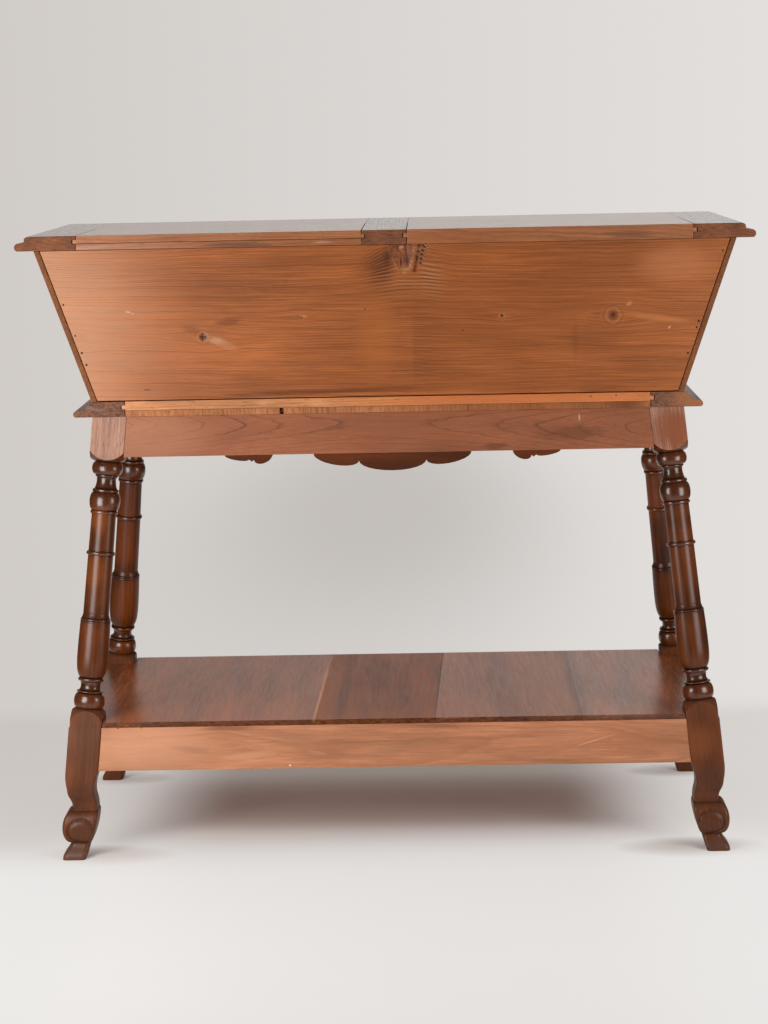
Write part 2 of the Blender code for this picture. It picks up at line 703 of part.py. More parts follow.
def leg_out(level, block):
    """Distance from a leg's top to its block's face at a level, outward in X and in Y."""
    fall = STAND_HEIGHT - level
    run_x = fall * math.tan(SPLAY_X) / math.cos(SPLAY_Y)
    return run_x + block / 2, fall * math.tan(SPLAY_Y) + block / 2


def shelf_outline(z, index):
    """Level section of one shelf board, notched round the legs where it meets them."""
    out_x, out_y = leg_out(z, FOOT_BLOCK)
    back = LEG_Y[-1] - out_y
    front = LEG_Y[1] + out_y
    last = len(SHELF_SEAMS_BACK)
    notch_back = back + FOOT_BLOCK + NOTCH_PLAY
    notch_front = front - FOOT_BLOCK - NOTCH_PLAY
    notch_x = LEG_X + out_x - FOOT_BLOCK - NOTCH_PLAY
    edge_x = LEG_X + out_x
    if index == 0:
        left = [(-notch_x, front), (-notch_x, notch_front), (-edge_x, notch_front),
                (-edge_x, notch_back), (-notch_x, notch_back), (-notch_x, back)]
    else:
        left = [(SHELF_SEAMS_FRONT[index - 1] + SHELF_CRACK, front),
                (SHELF_SEAMS_BACK[index - 1] + SHELF_CRACK, back)]
    if index == last:
        right = [(notch_x, back), (notch_x, notch_back), (edge_x, notch_back),
                 (edge_x, notch_front), (notch_x, notch_front), (notch_x, front)]
    else:
        right = [(SHELF_SEAMS_BACK[index], back), (SHELF_SEAMS_FRONT[index], front)]
    return [(x, y, z) for x, y in left + right]


def make_shelf(walnut, parent):
    for index in range(len(SHELF_SEAMS_BACK) + 1):
        name = f"shelf_board_{index + 1}"
        rings = [shelf_outline(z, index) for z in (SHELF_UNDERSIDE, SHELF_HEIGHT)]
        piece(name, solid_from_rings(name, rings), walnut, parent)


def main():
    clear_scene()
    walnut_leg = wood("waxed walnut, dark", (0.105, 0.035, 0.014), 0.28)
    walnut_top = wood("waxed walnut, worn", (0.22, 0.115, 0.07), 0.35)
    walnut_shelf = wood("waxed walnut, shelf", (0.16, 0.075, 0.045), 0.32)
    pine = wood("oiled pine", (0.42, 0.16, 0.06), 0.5)
    softwood = wood("pale softwood", (0.50, 0.24, 0.12), 0.6)
    stand = empty("stand", (0.0, 0.0, 0.0))
    trough = empty("bin", (0.0, BACK_Y + BIN_BASE_DEPTH / 2, BIN_LEVEL))
    lid = empty("lid", (0.0, BACK_Y + LID_DEPTH / 2, LID_LEVEL))
    make_lid(walnut_top, lid)
    make_bin(pine, trough)
    make_table_top(walnut_top, stand)
    long_rails, side_rails = make_rails(walnut_leg, softwood, stand)
    for sy, place in ((-1, "back"), (1, "front")):
        for sx, word in ((-1, "left"), (1, "right")):
            mortises = long_rails[sy] + side_rails[sx]
            make_leg(f"leg_{place}_{word}", sx, sy, mortises, walnut_leg, stand)
    make_shelf(walnut_shelf, stand)


main()
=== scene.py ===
"""Dough bin table: pine bin and walnut lid on a splayed walnut stand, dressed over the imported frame."""
import json
import math
import random
from collections import namedtuple
from functools import partial

import bmesh
import bpy
from mathutils import Matrix, Vector, noise

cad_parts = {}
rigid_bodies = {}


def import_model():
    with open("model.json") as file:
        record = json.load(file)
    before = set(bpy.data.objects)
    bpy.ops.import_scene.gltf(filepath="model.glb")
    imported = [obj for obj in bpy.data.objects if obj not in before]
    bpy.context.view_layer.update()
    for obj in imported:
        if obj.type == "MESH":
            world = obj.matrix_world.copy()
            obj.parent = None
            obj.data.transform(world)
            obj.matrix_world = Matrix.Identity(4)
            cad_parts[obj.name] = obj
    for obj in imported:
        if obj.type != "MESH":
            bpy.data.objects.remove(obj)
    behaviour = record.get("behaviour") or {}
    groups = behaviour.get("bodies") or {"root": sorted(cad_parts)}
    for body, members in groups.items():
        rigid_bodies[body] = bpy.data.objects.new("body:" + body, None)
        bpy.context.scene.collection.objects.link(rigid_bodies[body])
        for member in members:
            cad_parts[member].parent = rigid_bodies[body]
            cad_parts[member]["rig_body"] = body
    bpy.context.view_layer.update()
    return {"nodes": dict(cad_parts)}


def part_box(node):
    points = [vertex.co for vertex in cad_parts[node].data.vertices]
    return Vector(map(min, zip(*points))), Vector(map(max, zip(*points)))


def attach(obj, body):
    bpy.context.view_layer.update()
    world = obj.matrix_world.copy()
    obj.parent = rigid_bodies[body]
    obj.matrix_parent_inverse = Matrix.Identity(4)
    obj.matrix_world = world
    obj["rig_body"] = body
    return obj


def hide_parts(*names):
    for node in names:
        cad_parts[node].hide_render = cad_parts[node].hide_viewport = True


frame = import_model()

# Camera, read from the photograph: place in metres, turns in degrees, lens and sensor in millimetres
CAMERA_PLACE = Vector((0.080, -4.2768, 1.2037))
CAMERA_YAW = -1.256
CAMERA_PITCH = 8.974
CAMERA_ROLL = -1.199
CAMERA_LENS = 87.89
CAMERA_SENSOR = 36.0

# Levels and slopes of the frame that the finer pieces repeat
GAP = 0.0003
BACK_Y = -0.2197313
BIN_LEVEL = 0.7533
BIN_HEIGHT = 0.247
BIN_BASE_WIDTH = 0.967
BIN_SLOPE = math.radians(19.0)
BIN_BOARD = 0.020
BIN_LIP = 0.0088
STAND_HEIGHT = 0.728
SPLAY_X = math.radians(5.8)
SPLAY_Y = math.radians(6.4)
LEG_X = 0.455356
LEG_Y = {-1: -0.1895557, 1: 0.1480931}
SHELF_UNDERSIDE = 0.2192

# Leg: square block, pommel, then the turner's story stick from the top down,
# each span as (height, top radius, bottom radius, bulge, steps)
LEG_BLOCK = 0.056
LEG_BLOCK_LENGTH = 0.0667
POMMEL = 0.0105
# The turner's cut climbs this far up the corners of the blocks, by this power of the way out from the neck
POMMEL_CLIMB = 0.0165
FOOT_CLIMB = 0.0190
CLIMB_POWER = 2.1
POMMEL_STEPS = 8
UPPER_TURNING = (
    (0.0217, 0.0190, 0.0190, 0.0063, 18),
    (0.0035, 0.0178, 0.0178, 0.0010, 6),
    (0.0202, 0.0174, 0.0200, -0.0026, 14),
    (0.0051, 0.0205, 0.0205, 0.0012, 8),
    (0.0303, 0.0195, 0.0195, 0.0058, 22),
    (0.0056, 0.0212, 0.0212, 0.0012, 8),
)
UPPER_SHAFT = ((0.0622, 0.0200, 0.0208, 0.0, 24),)
SHAFT_RING = ((0.0061, 0.0218, 0.0218, 0.0020, 8),)
SHAFT_RADII = (0.0208, 0.0213)
SHAFT_STEPS = 48
COVE = (0.0095, 0.0213, 0.0240, -0.0006, 8)
BEADS = ((0.0030, 0.0236, 0.0236, 0.0015, 8),) * 2
VASE_HEIGHTS = (0.016, 0.016, 0.016, 0.014, 0.01, 0.007, 0.005, 0.0045, 0.0041)
VASE_RADII = (0.0248, 0.0253, 0.0257, 0.0259, 0.0258, 0.0252, 0.0243, 0.0231, 0.0213, 0.0186)
VASE = tuple((height, top, bottom, 0.0, 2)
             for height, top, bottom in zip(VASE_HEIGHTS, VASE_RADII, VASE_RADII[1:]))
NECK = (
    (0.0051, 0.0198, 0.0198, 0.0016, 8),
    (0.0125, 0.0180, 0.0172, -0.0014, 10),
    (0.0038, 0.0172, 0.0212, -0.0010, 8),
    (0.0024, 0.0212, 0.0212, 0.0011, 6),
    (0.0010, 0.0212, 0.0192, 0.0, 2),
    (0.0258, 0.0190, 0.0200, 0.0061, 20),
)
# Zones of finish down a leg, in the order of its materials
BLOCK, POLISHED, FOOT, RUBBED = range(4)
FOOT_BLOCK = 0.053
FOOT_HEIGHT = 0.2465
# Foot: bottom height, (top, bottom, bulge) of its outer and inner sides, arris, steps, level spaced or not
FOOT_SPANS = (
    (0.1500, (0.0280, 0.0275, 0.0), (0.0265, 0.0265, 0.0), 0.002, 6, True),
    (0.1120, (0.0275, 0.0235, 0.0012), (0.0265, 0.0212, -0.0012), 0.004, 10, False),
    (0.0790, (0.0235, 0.0118, -0.0022), (0.0212, 0.0284, 0.0008), 0.005, 14, False),
    (0.0268, (0.0150, 0.0118, 0.0128), (0.0284, 0.0218, 0.0046), 0.009, 30, False),
    (0.0050, (0.0118, 0.0216, -0.0008), (0.0218, 0.0176, 0.0), 0.007, 8, True),
    (0.0, (0.0216, 0.0216, 0.0), (0.0176, 0.0165, 0.0), 0.007, 3, True),
)
# The ankle's curves run into each other over this range of heights
ANKLE_RANGE = (0.082, 0.190)
ANKLE_EASE = 0.0075
ANKLE_FADE_LOW = 0.015
ANKLE_FADE_HIGH = 0.020
# On the back the ledge runs out by this height, at the side it stays a step
LEDGE_END = 0.1800
# Round pad on both outer faces of the scroll, with a groove round it: middle height, radius,
# distance of its middle from the outer corner, rise of its dome and the width that it rises over,
# width and depth of the groove, and the heights that the groove runs out between
PAD_MIDDLE = 0.0465
PAD_RADIUS = 0.0186
PAD_CENTRE = 0.0300
PAD_RISE = 0.0008
PAD_EDGE = 0.006
PAD_GROOVE_WIDTH = 0.0052
PAD_GROOVE = 0.0026
PAD_FOOT = (0.0245, 0.0285)
# Half of one corner's column angles, closer together at the arris
CORNER_STEPS = (1, 2.2, 3.5, 5, 6.5, 8.5, 10.5, 13, 16, 20, 25, 31, 38)
BLOCK_ARRIS = 0.0013
# Points this near an outer face take part in its pad, and rings closer than this are one
FACE_REACH = 0.0005
RING_MERGE = 0.0001
# Old wax stays in grooves and in the sharp hollows beside rings, and painted shade darkens them there too
GROOVE_REACH = 0.008
GROOVE_DEPTH = 0.002
HOLLOW_REACH = 0.0022
HOLLOW_DEPTH = 0.0008

# Eased arrises of the boards: the lid's strip is rounder, and the shelf's boards are hardly eased
SHELF_BOARDS = [f"shelf_board_{i}" for i in (1, 2, 3, 4)]
ARRIS = 0.0006
ARRISES = {"lid_rear_strip": 0.0013, **dict.fromkeys(SHELF_BOARDS, 0.00006)}
# How far the ends of a board have drawn back from their joints; a value below nothing closes a seam
OPEN_JOINT = 0.0009
OPENED = ("lid_board_left_rear", "lid_board_right_rear", "top_board_rear", "bin_floor_rear",
          "top_cross_board_left", "top_cross_board_right")
DRAWN_BACK = {"top_cross_board_middle": -OPEN_JOINT, **dict.fromkeys(OPENED, OPEN_JOINT),
              **dict.fromkeys(SHELF_BOARDS, -0.00056)}
# Copying a board: points this close are one, faces this level are one, edges steeper than a corner are
# eased, and faces up to this area in square metres are shaded round
WELD = 1e-6
FLAT_ANGLE = math.radians(0.5)
CORNER_ANGLE = math.radians(35)
LARGE_FACE = 0.004

# How a piece lay in its log: offsets of its middle from the heart, leans of the heart, and its bow
Log = namedtuple("Log", "across through lean_across lean_through bow")
X = Vector((1.0, 0.0, 0.0))
Y = Vector((0.0, 1.0, 0.0))
Z = Vector((0.0, 0.0, 1.0))

# Knots in the back board: x, z, radius, reach of the bent grain
BACK_KNOTS = (
    (-0.2976, 0.8564, 0.0075, 0.034),
    (0.3688, 0.8794, 0.0100, 0.040),
    (0.1891, 0.8820, 0.0044, 0.016),
    (-0.1355, 0.8858, 0.0030, 0.018),
)
# Heart of its log, a little below the board, with how far it rises and leans along the board,
# and the tip and slope of the wedge that its growth opens in to the left
BACK_HEART = 0.700
HEART_DEPTH = 0.019
HEART_RISE = 0.010
HEART_LEAN = 0.006
WEDGE_TIP = (-0.453, 0.859)
WEDGE_SLOPE = 0.18
# Open joints of the bin: beside the back board's ends, and under its lower edge
END_JOINT = 0.0013
BACK_LIFT = 0.0014
# Grid of its worked face: columns far from and near to knots, rows, and the broken knot's middle and reach
COARSE_GRID = 0.006
FINE_GRID = 0.0013
ROW_GRID = 0.0014
BROKEN_PLACE = (0.030, 0.085)
# Its eased edge: width at the ends as a share, width above and below, and depth
EDGE_SHARE = 0.0004
EDGE_ROW = 0.0005
EDGE_EASE = 0.0006
# Edges steeper than this stay sharp, on the board and on the legs
BOARD_SHARP = math.radians(50)
LEG_SHARP = math.radians(32)


def linear(code):
    """sRGB hex value as the linear colour that shaders take."""
    shares = [int(code[i:i + 2], 16) / 255 for i in (1, 3, 5)]
    levels = [s / 12.92 if s <= 0.04045 else ((s + 0.055) / 1.055) ** 2.4 for s in shares]
    return (*levels, 1.0)


def add(tree, kind, *values, **named):
    """Adds one node of a kind, with its operation after a colon. Values go to its inputs in order, names with
    a capital to the inputs so named, others to its settings. A node stands for its first open output."""
    name, _, operation = kind.partition(":")
    made = tree.nodes.new(name if "Node" in name else "ShaderNode" + name)
    if operation:
        made.operation = operation
    for key, value in named.items():
        if key[0].islower():
            setattr(made, key, value)
    inputs = [(key.replace("_", " "), value) for key, value in named.items() if key[0].isupper()]
    for key, value in [*enumerate(values), *inputs]:
        if isinstance(value, bpy.types.Node):
            value = next(output for output in value.outputs if output.enabled)
        if isinstance(value, bpy.types.NodeSocket):
            tree.links.new(value, made.inputs[key])
        else:
            made.inputs[key].default_value = value
    return made


# Settings of nodes that mix colours, and of ranges with soft ends
RGBA = {"data_type": "RGBA"}
SOFT = {"interpolation_type": "SMOOTHSTEP"}


def fresh_nodes(owner):
    """Empties the nodes of a material or world, and gives what adds new ones there."""
    owner.use_nodes = True
    owner.node_tree.nodes.clear()
    return partial(add, owner.node_tree)


def linked(name, data):
    """New object in the scene."""
    made = bpy.data.objects.new(name, data)
    bpy.context.scene.collection.objects.link(made)
    return made


# Where in a year's ring its dark line is strongest
LINE_PEAK = 0.84


def log_growth():
    """Shader group: late wood, fibres, pores and clouds of a log, from where a point lay in it."""
    tree = bpy.data.node_groups.new("Growth of the log", "ShaderNodeTree")
    for name in ("Grain", "Ring Width", "Wander", "Fibre Width", "Line Start", "Fleck Size"):
        kind = "NodeSocketVector" if name in ("Grain", "Fleck Size") else "NodeSocketFloat"
        tree.interface.new_socket(name, in_out="INPUT", socket_type=kind)
    for name in ("Late", "Fibre", "Pore", "Cloud", "Fleck"):
        tree.interface.new_socket(name, in_out="OUTPUT", socket_type="NodeSocketFloat")
    put = partial(add, tree)
    given = put("NodeGroupInput").outputs
    grain = given["Grain"]

    def uneven(along, across, **details):
        """Noise that changes over these lengths along and across the log."""
        place = put("VectorMath:MULTIPLY", grain, (1 / along, 1 / across, 1 / across))
        return put("TexNoise", place, Scale=1.0, **details)

    # The growth sways over about 300 mm along the log and 60 mm across it
    sway = uneven(0.30, 0.06, Detail=2.0, Roughness=0.45).outputs["Color"]
    centred = put("VectorMath:SUBTRACT", sway, (0.5, 0.5, 0.5))
    swayed = put("VectorMath:MULTIPLY_ADD", centred, given["Wander"], grain)
    # and it wavers by a millimetre over about 40 mm along and 8 mm across
    waver = uneven(0.04, 0.008, Detail=2.0).outputs["Color"]
    wavered = put("VectorMath:MULTIPLY_ADD", waver, (0.0025, 0.0025, 0.0025), swayed)
    radius = put("VectorMath:LENGTH", put("VectorMath:MULTIPLY", wavered, (0.0, 1.0, 1.0)))
    # Years differ in width and in how dark they end
    count = put("Math:DIVIDE", radius, given["Ring Width"])
    years = put("TexNoise", W=put("Math:MULTIPLY", count, 0.37), Scale=1.0, Detail=1.0, noise_dimensions="1D")
    year = put("Math:MULTIPLY_ADD", years, 1.8, count)
    share = put("Math:FRACT", year)
    vigour = put("TexWhiteNoise", W=put("Math:FLOOR", year), noise_dimensions="1D")
    strength = put("MapRange", vigour, To_Min=0.10, To_Max=1.0)
    rise = put("MapRange", share, given["Line Start"], LINE_PEAK, **SOFT)
    fall = put("MapRange", share, LINE_PEAK, 1.0, 1.0, 0.0, **SOFT)
    lines = put("Math:MULTIPLY", put("Math:MULTIPLY", rise, fall), strength)
    # Fibres are 90 mm long, and the lines fade between them
    width = given["Fibre Width"]
    size = put("CombineXYZ", 0.090, width, width)
    fibre = put("TexNoise", put("VectorMath:DIVIDE", grain, size), Scale=1.0, Detail=3.0, Roughness=0.6)
    late = put("Math:MULTIPLY", lines, put("MapRange", fibre, 0.35, 0.65, 0.45, 1.2))
    # Pores are drawn 1.5 mm wide, coarser than real, to show at 1.6 mm to a pixel
    pore = put("MapRange", uneven(0.014, 0.0015, Detail=1.0), 0.58, 0.74)
    cloud = uneven(0.24, 0.05, Detail=3.0)
    flat = put("VectorMath:DIVIDE", grain, given["Fleck Size"])
    fleck = put("TexNoise", flat, Scale=1.0, Detail=2.0, Roughness=0.6)
    put("NodeGroupOutput", Late=late, Fibre=fibre, Pore=pore, Cloud=cloud, Fleck=fleck)
    return tree


GROWTH = log_growth()

# Finish of a wood: early and late wood, pores, end grain and worn arrises as hex colours; sizes in metres.
# Line is where in a ring the dark line starts, fleck the size of end-grain flecks across and through,
# gloss the roughness of the face, shine the strength of its reflection, relief the depth of its grain,
# coat and haze the share and roughness of a skin of wax, edge what a sawn edge is rougher by
Finish = namedtuple("Finish", "early late pore end worn ring line wander fibre figure streak cloud pores "
                              "fleck flecks gloss shine relief coat edge haze", defaults=(0.0, 0.0, 0.24))

# How any wood is mixed: shares of its end-grain colour and of paler rubbed arrises, how far fibres fray
# the edge of a mark and where that edge fades, how fibres spread the gloss, roughness of end grain,
# depth of fibres and pores beside late wood, and how strongly a coat of wax bends light
END_SHARE = 0.75
RUBBED_SHARE = 0.6
FRAY = 0.9
MARK_EDGE = (0.75, 1.45)
GLOSS_SPREAD = (-0.06, 0.08)
END_ROUGHNESS = 0.45
FIBRE_DEPTH = 0.8
WAX_IOR = 1.55


def wood(name, finish, marks=(), details=(), **changes):
    """Material of one wood and finish. Details mix in a colour where the piece's own attribute says.
    Marks are stains, scars, handled places, painted light and painted shade at their real spots: middle and
    reach in millimetres, colour, strength, and turns about Y and Z in degrees. Changes are where it differs
    from the finish."""
    finish = finish._replace(**changes)
    material = bpy.data.materials.new(name)
    put = fresh_nodes(material)

    def told(attribute):
        return put("Attribute", attribute_name=attribute).outputs["Fac"]

    grain = put("Attribute", attribute_name="grain").outputs["Vector"]
    growth = put("Group", node_tree=GROWTH, Grain=grain, Ring_Width=finish.ring, Wander=finish.wander,
                 Fibre_Width=finish.fibre, Line_Start=finish.line, Fleck_Size=(0.05, *finish.fleck)).outputs
    late = put("Math:MULTIPLY", growth["Late"], finish.figure)
    pore = put("Math:MULTIPLY", growth["Pore"], finish.pores)
    end = told("end_grain")
    colour = linear(finish.early)
    ends = put("Math:MULTIPLY", end, END_SHARE)
    for part, code in ((late, finish.late), (pore, finish.pore), (ends, finish.end)):
        colour = put("Mix", part, A=colour, B=linear(code), **RGBA)
    # Fibres, flecks of the end grain and clouds change how light or dark the wood is
    fibre, fleck, cloud = (
        put("MapRange", growth[part], 0.3, 0.7, 1 - depth, 1 + depth)
        for part, depth in (("Fibre", finish.streak), ("Fleck", finish.flecks), ("Cloud", finish.cloud)))
    tone = put("Math:MULTIPLY", put("Mix", end, A=fibre, B=fleck), cloud)
    colour = put("VectorMath:MULTIPLY", colour, tone)
    # Arrises are rubbed paler in places
    rubbed = put("Math:MULTIPLY", put("Math:MULTIPLY", told("arris"), growth["Cloud"]), RUBBED_SHARE)
    for part, code in ((rubbed, finish.worn), *((told(place), code) for place, code in details)):
        colour = put("Mix", part, A=colour, B=linear(code), **RGBA)
    place = put("TexCoord").outputs["Object"]
    for x, y, z, wide, deep, high, code, strength, *turns in marks:
        turn = [math.radians(angle) for angle in (0.0, *turns, 0.0, 0.0)[:3]]
        local = put("Mapping", place, Vector((x, y, z)) / 1000, turn, Vector((wide, deep, high)) / 1000,
                    vector_type="TEXTURE")
        edge = put("Math:MULTIPLY_ADD", growth["Fibre"], FRAY, put("VectorMath:LENGTH", local))
        cover = put("MapRange", edge, *MARK_EDGE, strength, 0.0, **SOFT)
        colour = put("Mix", cover, A=colour, B=linear(code), **RGBA)
    rough = put("MapRange", growth["Fibre"], 0.25, 0.75, *(finish.gloss + more for more in GLOSS_SPREAD))
    rough = put("Math:MULTIPLY_ADD", end, END_ROUGHNESS, rough)
    rough = put("Math:MULTIPLY_ADD", told("sawn"), finish.edge, rough)
    worked = put("Math:MULTIPLY_ADD", growth["Fibre"], FIBRE_DEPTH, late)
    sunk = put("Math:MULTIPLY_ADD", pore, -FIBRE_DEPTH, worked)
    bump = put("Bump", Height=sunk, Strength=1.0, Distance=finish.relief)
    surface = put("BsdfPrincipled", Base_Color=colour, Roughness=rough, Normal=bump,
                  Specular_IOR_Level=finish.shine, Coat_Weight=finish.coat, Coat_Roughness=finish.haze,
                  Coat_IOR=WAX_IOR)
    put("OutputMaterial", Surface=surface)
    return material


def faces(normal, axis):
    """How far a face is turned to an axis, 0 to 1."""
    return min(1.0, max(0.0, (abs(normal.dot(axis)) - 0.6) / 0.3))


def lay_grain(mesh, along, across, log, start):
    """Writes to each point where it lay in the log: along it, and across it from the heart."""
    through = along.cross(across)
    low = Vector([min(v.co[i] for v in mesh.vertices) for i in range(3)])
    high = Vector([max(v.co[i] for v in mesh.vertices) for i in range(3)])
    middle = (low + high) / 2
    values = []
    for vertex in mesh.vertices:
        place = vertex.co - middle
        run = place.dot(along)
        side = place.dot(across) + log.across + log.lean_across * run
        deep = place.dot(through) + log.through + log.lean_through * run - log.bow * run * run
        values += [run + start, side, deep]
    mesh.attributes.new("grain", "FLOAT_VECTOR", "POINT").data.foreach_set("vector", values)
    ends = [faces(f.normal, along) for f in mesh.polygons]
    mesh.attributes.new("end_grain", "FLOAT", "FACE").data.foreach_set("value", ends)
    sawn = [1.0 - faces(f.normal, Z) for f in mesh.polygons]
    mesh.attributes.new("sawn", "FLOAT", "FACE").data.foreach_set("value", sawn)


def finished(name, mesh, node, material):
    """Piece that stands for a CAD node and rides on its body, in its slot."""
    mesh.materials.clear()
    mesh.materials.append(material)
    piece = linked(name, mesh)
    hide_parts(node)
    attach(piece, frame["nodes"][node]["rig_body"])
    return piece


def mesh_of(shape, name):
    """Mesh with a name from a worked shape."""
    mesh = bpy.data.meshes.new(name)
    shape.to_mesh(mesh)
    shape.free()
    return mesh


def steep(edge):
    """Whether the faces at an edge meet at a real corner."""
    return edge.is_manifold and edge.calc_face_angle() > CORNER_ANGLE


def eased_board(node, along, across, log, start, material, slices=0):
    """Copy of a CAD board with its arrises eased, as a plane and years of handling leave them,
    its ends drawn back where joints have opened, or drawn out where a seam has closed."""
    shape = bmesh.new()
    shape.from_mesh(frame["nodes"][node].data)
    bmesh.ops.remove_doubles(shape, verts=shape.verts, dist=WELD)
    bmesh.ops.dissolve_limit(shape, angle_limit=FLAT_ANGLE, verts=shape.verts, edges=shape.edges)
    low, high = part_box(node)
    if node in DRAWN_BACK:
        middle = (low + high) / 2
        share = 1 - 2 * DRAWN_BACK[node] / (high.x - low.x)
        for vertex in shape.verts:
            vertex.co.x = middle.x + (vertex.co.x - middle.x) * share
    corners = [edge for edge in shape.edges if steep(edge)]
    rounded = bmesh.ops.bevel(shape, geom=corners, offset=ARRISES.get(node, ARRIS), offset_type="OFFSET",
                              segments=3, profile=0.5, affect="EDGES", clamp_overlap=True)["faces"]
    eased = shape.faces.layers.float.new("arris")
    for face in shape.faces:
        face.smooth = face.calc_area() < LARGE_FACE
    for face in rounded:
        if face.is_valid:
            face[eased] = 1.0
            face.smooth = True
    for edge in shape.edges:
        sides = [f[eased] for f in edge.link_faces]
        edge.smooth = not steep(edge) and (len(sides) != 2 or sides[0] == sides[1])
    for i in range(1, slices):
        cut = low + (high - low) * (i / slices)
        geometry = list(shape.verts) + list(shape.edges) + list(shape.faces)
        bmesh.ops.bisect_plane(shape, geom=geometry, plane_co=cut, plane_no=along)
    mesh = mesh_of(shape, node + "_timber")
    lay_grain(mesh, along, across, log, start)
    return finished(node + "_timber", mesh, node, material)


def bowed(start, end, bow, steps, level=False):
    """Values from start to end along half an ellipse, as (share of the way, value)."""
    points = []
    for i in range(steps + 1):
        angle = math.pi * i / steps
        share = (1 - math.cos(angle)) / 2 if bow else i / steps
        value = start + (end - start) * share + bow * math.sin(angle)
        points.append((i / steps if level else share, value))
    return points


def leg_columns():
    """Angles of the points round a leg, the same on every ring."""
    angles = []
    for corner in (45, 135, 225, 315):
        angles += [corner - s for s in reversed(CORNER_STEPS)] + [corner]
        angles += [corner + s for s in CORNER_STEPS] + [corner + 45]
    return [math.radians(a) for a in angles]


COLUMNS = leg_columns()


def square_reach(angle, inner, outer, arris, outer_y=None):
    """From the axis to a square from -inner to outer both ways, its corners rounded, at an angle."""
    c, s = math.cos(angle), math.sin(angle)
    side_x = outer if c > 0 else inner
    side_y = (outer_y or outer) if s > 0 else inner
    reach = min(side_x / max(abs(c), 1e-9), side_y / max(abs(s), 1e-9))
    corner_x = math.copysign(side_x - arris, c)
    corner_y = math.copysign(side_y - arris, s)
    if abs(reach * c) > abs(corner_x) and abs(reach * s) > abs(corner_y):
        along = c * corner_x + s * corner_y
        off = corner_x ** 2 + corner_y ** 2 - arris ** 2
        reach = along + math.sqrt(max(along ** 2 - off, 0.0))
    return reach


def pommel_rings(half, neck, climb, drop, direction):
    """Turned shoulder from the edge of a square block in to a neck at the given drop."""
    corner = square_reach(math.radians(45), half, half, BLOCK_ARRIS)
    rings = []
    for i in range(POMMEL_STEPS + 1):
        ring = []
        for angle in COLUMNS:
            edge = square_reach(angle, half, half, BLOCK_ARRIS)
            radius = edge + (neck - edge) * i / POMMEL_STEPS
            out = (radius - neck) / (corner - neck)
            fall = drop - direction * climb * out ** CLIMB_POWER
            ring.append(Vector((radius * math.cos(angle), radius * math.sin(angle), -fall)))
        rings.append(ring)
    return rings


def turned_profile(length):
    """Drop and radius down the turning, how deep each point lies in a groove, and its zone of finish."""
    fixed = sum(span[0] for span in UPPER_TURNING + UPPER_SHAFT + SHAFT_RING + (COVE,) + BEADS + VASE + NECK)
    drop = LEG_BLOCK_LENGTH + POMMEL
    shaft = ((length - drop - fixed, *SHAFT_RADII, 0.0, SHAFT_STEPS), COVE)
    points = []
    zones = []
    for spans, zone in ((UPPER_TURNING, POLISHED), (UPPER_SHAFT, RUBBED), (SHAFT_RING, POLISHED),
                        (shaft, RUBBED), (BEADS, POLISHED), (VASE, RUBBED), (NECK, POLISHED)):
        for height, top, bottom, bulge, steps in spans:
            points += [(drop + height * share, radius) for share, radius in bowed(top, bottom, bulge, steps)]
            zones += [zone] * (steps + 1)
            drop += height
    grooves = []
    for fall, radius in points:
        above = max(r for f, r in points if -GROOVE_REACH < f - fall <= 0)
        below = max(r for f, r in points if 0 <= f - fall < GROOVE_REACH)
        around = [r for f, r in points if abs(f - fall) < HOLLOW_REACH]
        hollow = sum(around) / len(around) - radius
        grooves.append(min(1.0, max(0.0, (min(above, below) - radius) / GROOVE_DEPTH, hollow / HOLLOW_DEPTH)))
    return points, grooves, zones


def eased_profile(sections):
    """Sections with the kinks of the ankle drawn out, as a spokeshave leaves them."""
    low, high = ANKLE_RANGE
    eased = []
    for height, inner, outer, arris in sections:
        if low < height < high:
            near = [(math.exp(-((height - h) / ANKLE_EASE) ** 2), i, o, a) for h, i, o, a in sections]
            total = sum(n[0] for n in near)
            soft = [sum(n[0] * n[k] for n in near) / total for k in (1, 2, 3)]
            hold = smooth(low, low + ANKLE_FADE_LOW, height)
            hold *= 1 - smooth(high - ANKLE_FADE_HIGH, high, height)
            inner, outer, arris = (a + (b - a) * hold for a, b in zip((inner, outer, arris), soft))
        eased.append((height, inner, outer, arris))
    return eased


def scroll_pad(lateral, height):
    """How far a scroll's round pad stands out, and its groove lies in, off the outer corner."""
    edge = PAD_RADIUS - math.hypot(height - PAD_MIDDLE, lateral - PAD_CENTRE)
    middle = -PAD_GROOVE_WIDTH / 2
    rise = PAD_RISE * smooth(0.0, PAD_EDGE, edge)
    sunk = PAD_GROOVE * smooth(2 * middle, middle, edge) * (1 - smooth(middle, 0.0, edge))
    return rise - sunk * smooth(*PAD_FOOT, height)


def foot_sections():
    """Level sections of the foot from the ledge under the shelf to the floor: height, inner, outer, arris."""
    half = FOOT_BLOCK / 2
    sections = [(SHELF_UNDERSIDE, half, half, FOOT_SPANS[0][3])]
    top = SHELF_UNDERSIDE
    arris_above = FOOT_SPANS[0][3]
    for bottom, outer, inner, arris, steps, level in FOOT_SPANS:
        outers = bowed(*outer, steps, level)
        inners = bowed(*inner, steps, level)
        for i in range(steps + 1):
            share = outers[i][0]
            soft = arris_above + (arris - arris_above) * share
            sections.append((top + (bottom - top) * share, inners[i][1], outers[i][1], soft))
        arris_above = arris
        top = bottom
    return eased_profile(sections)


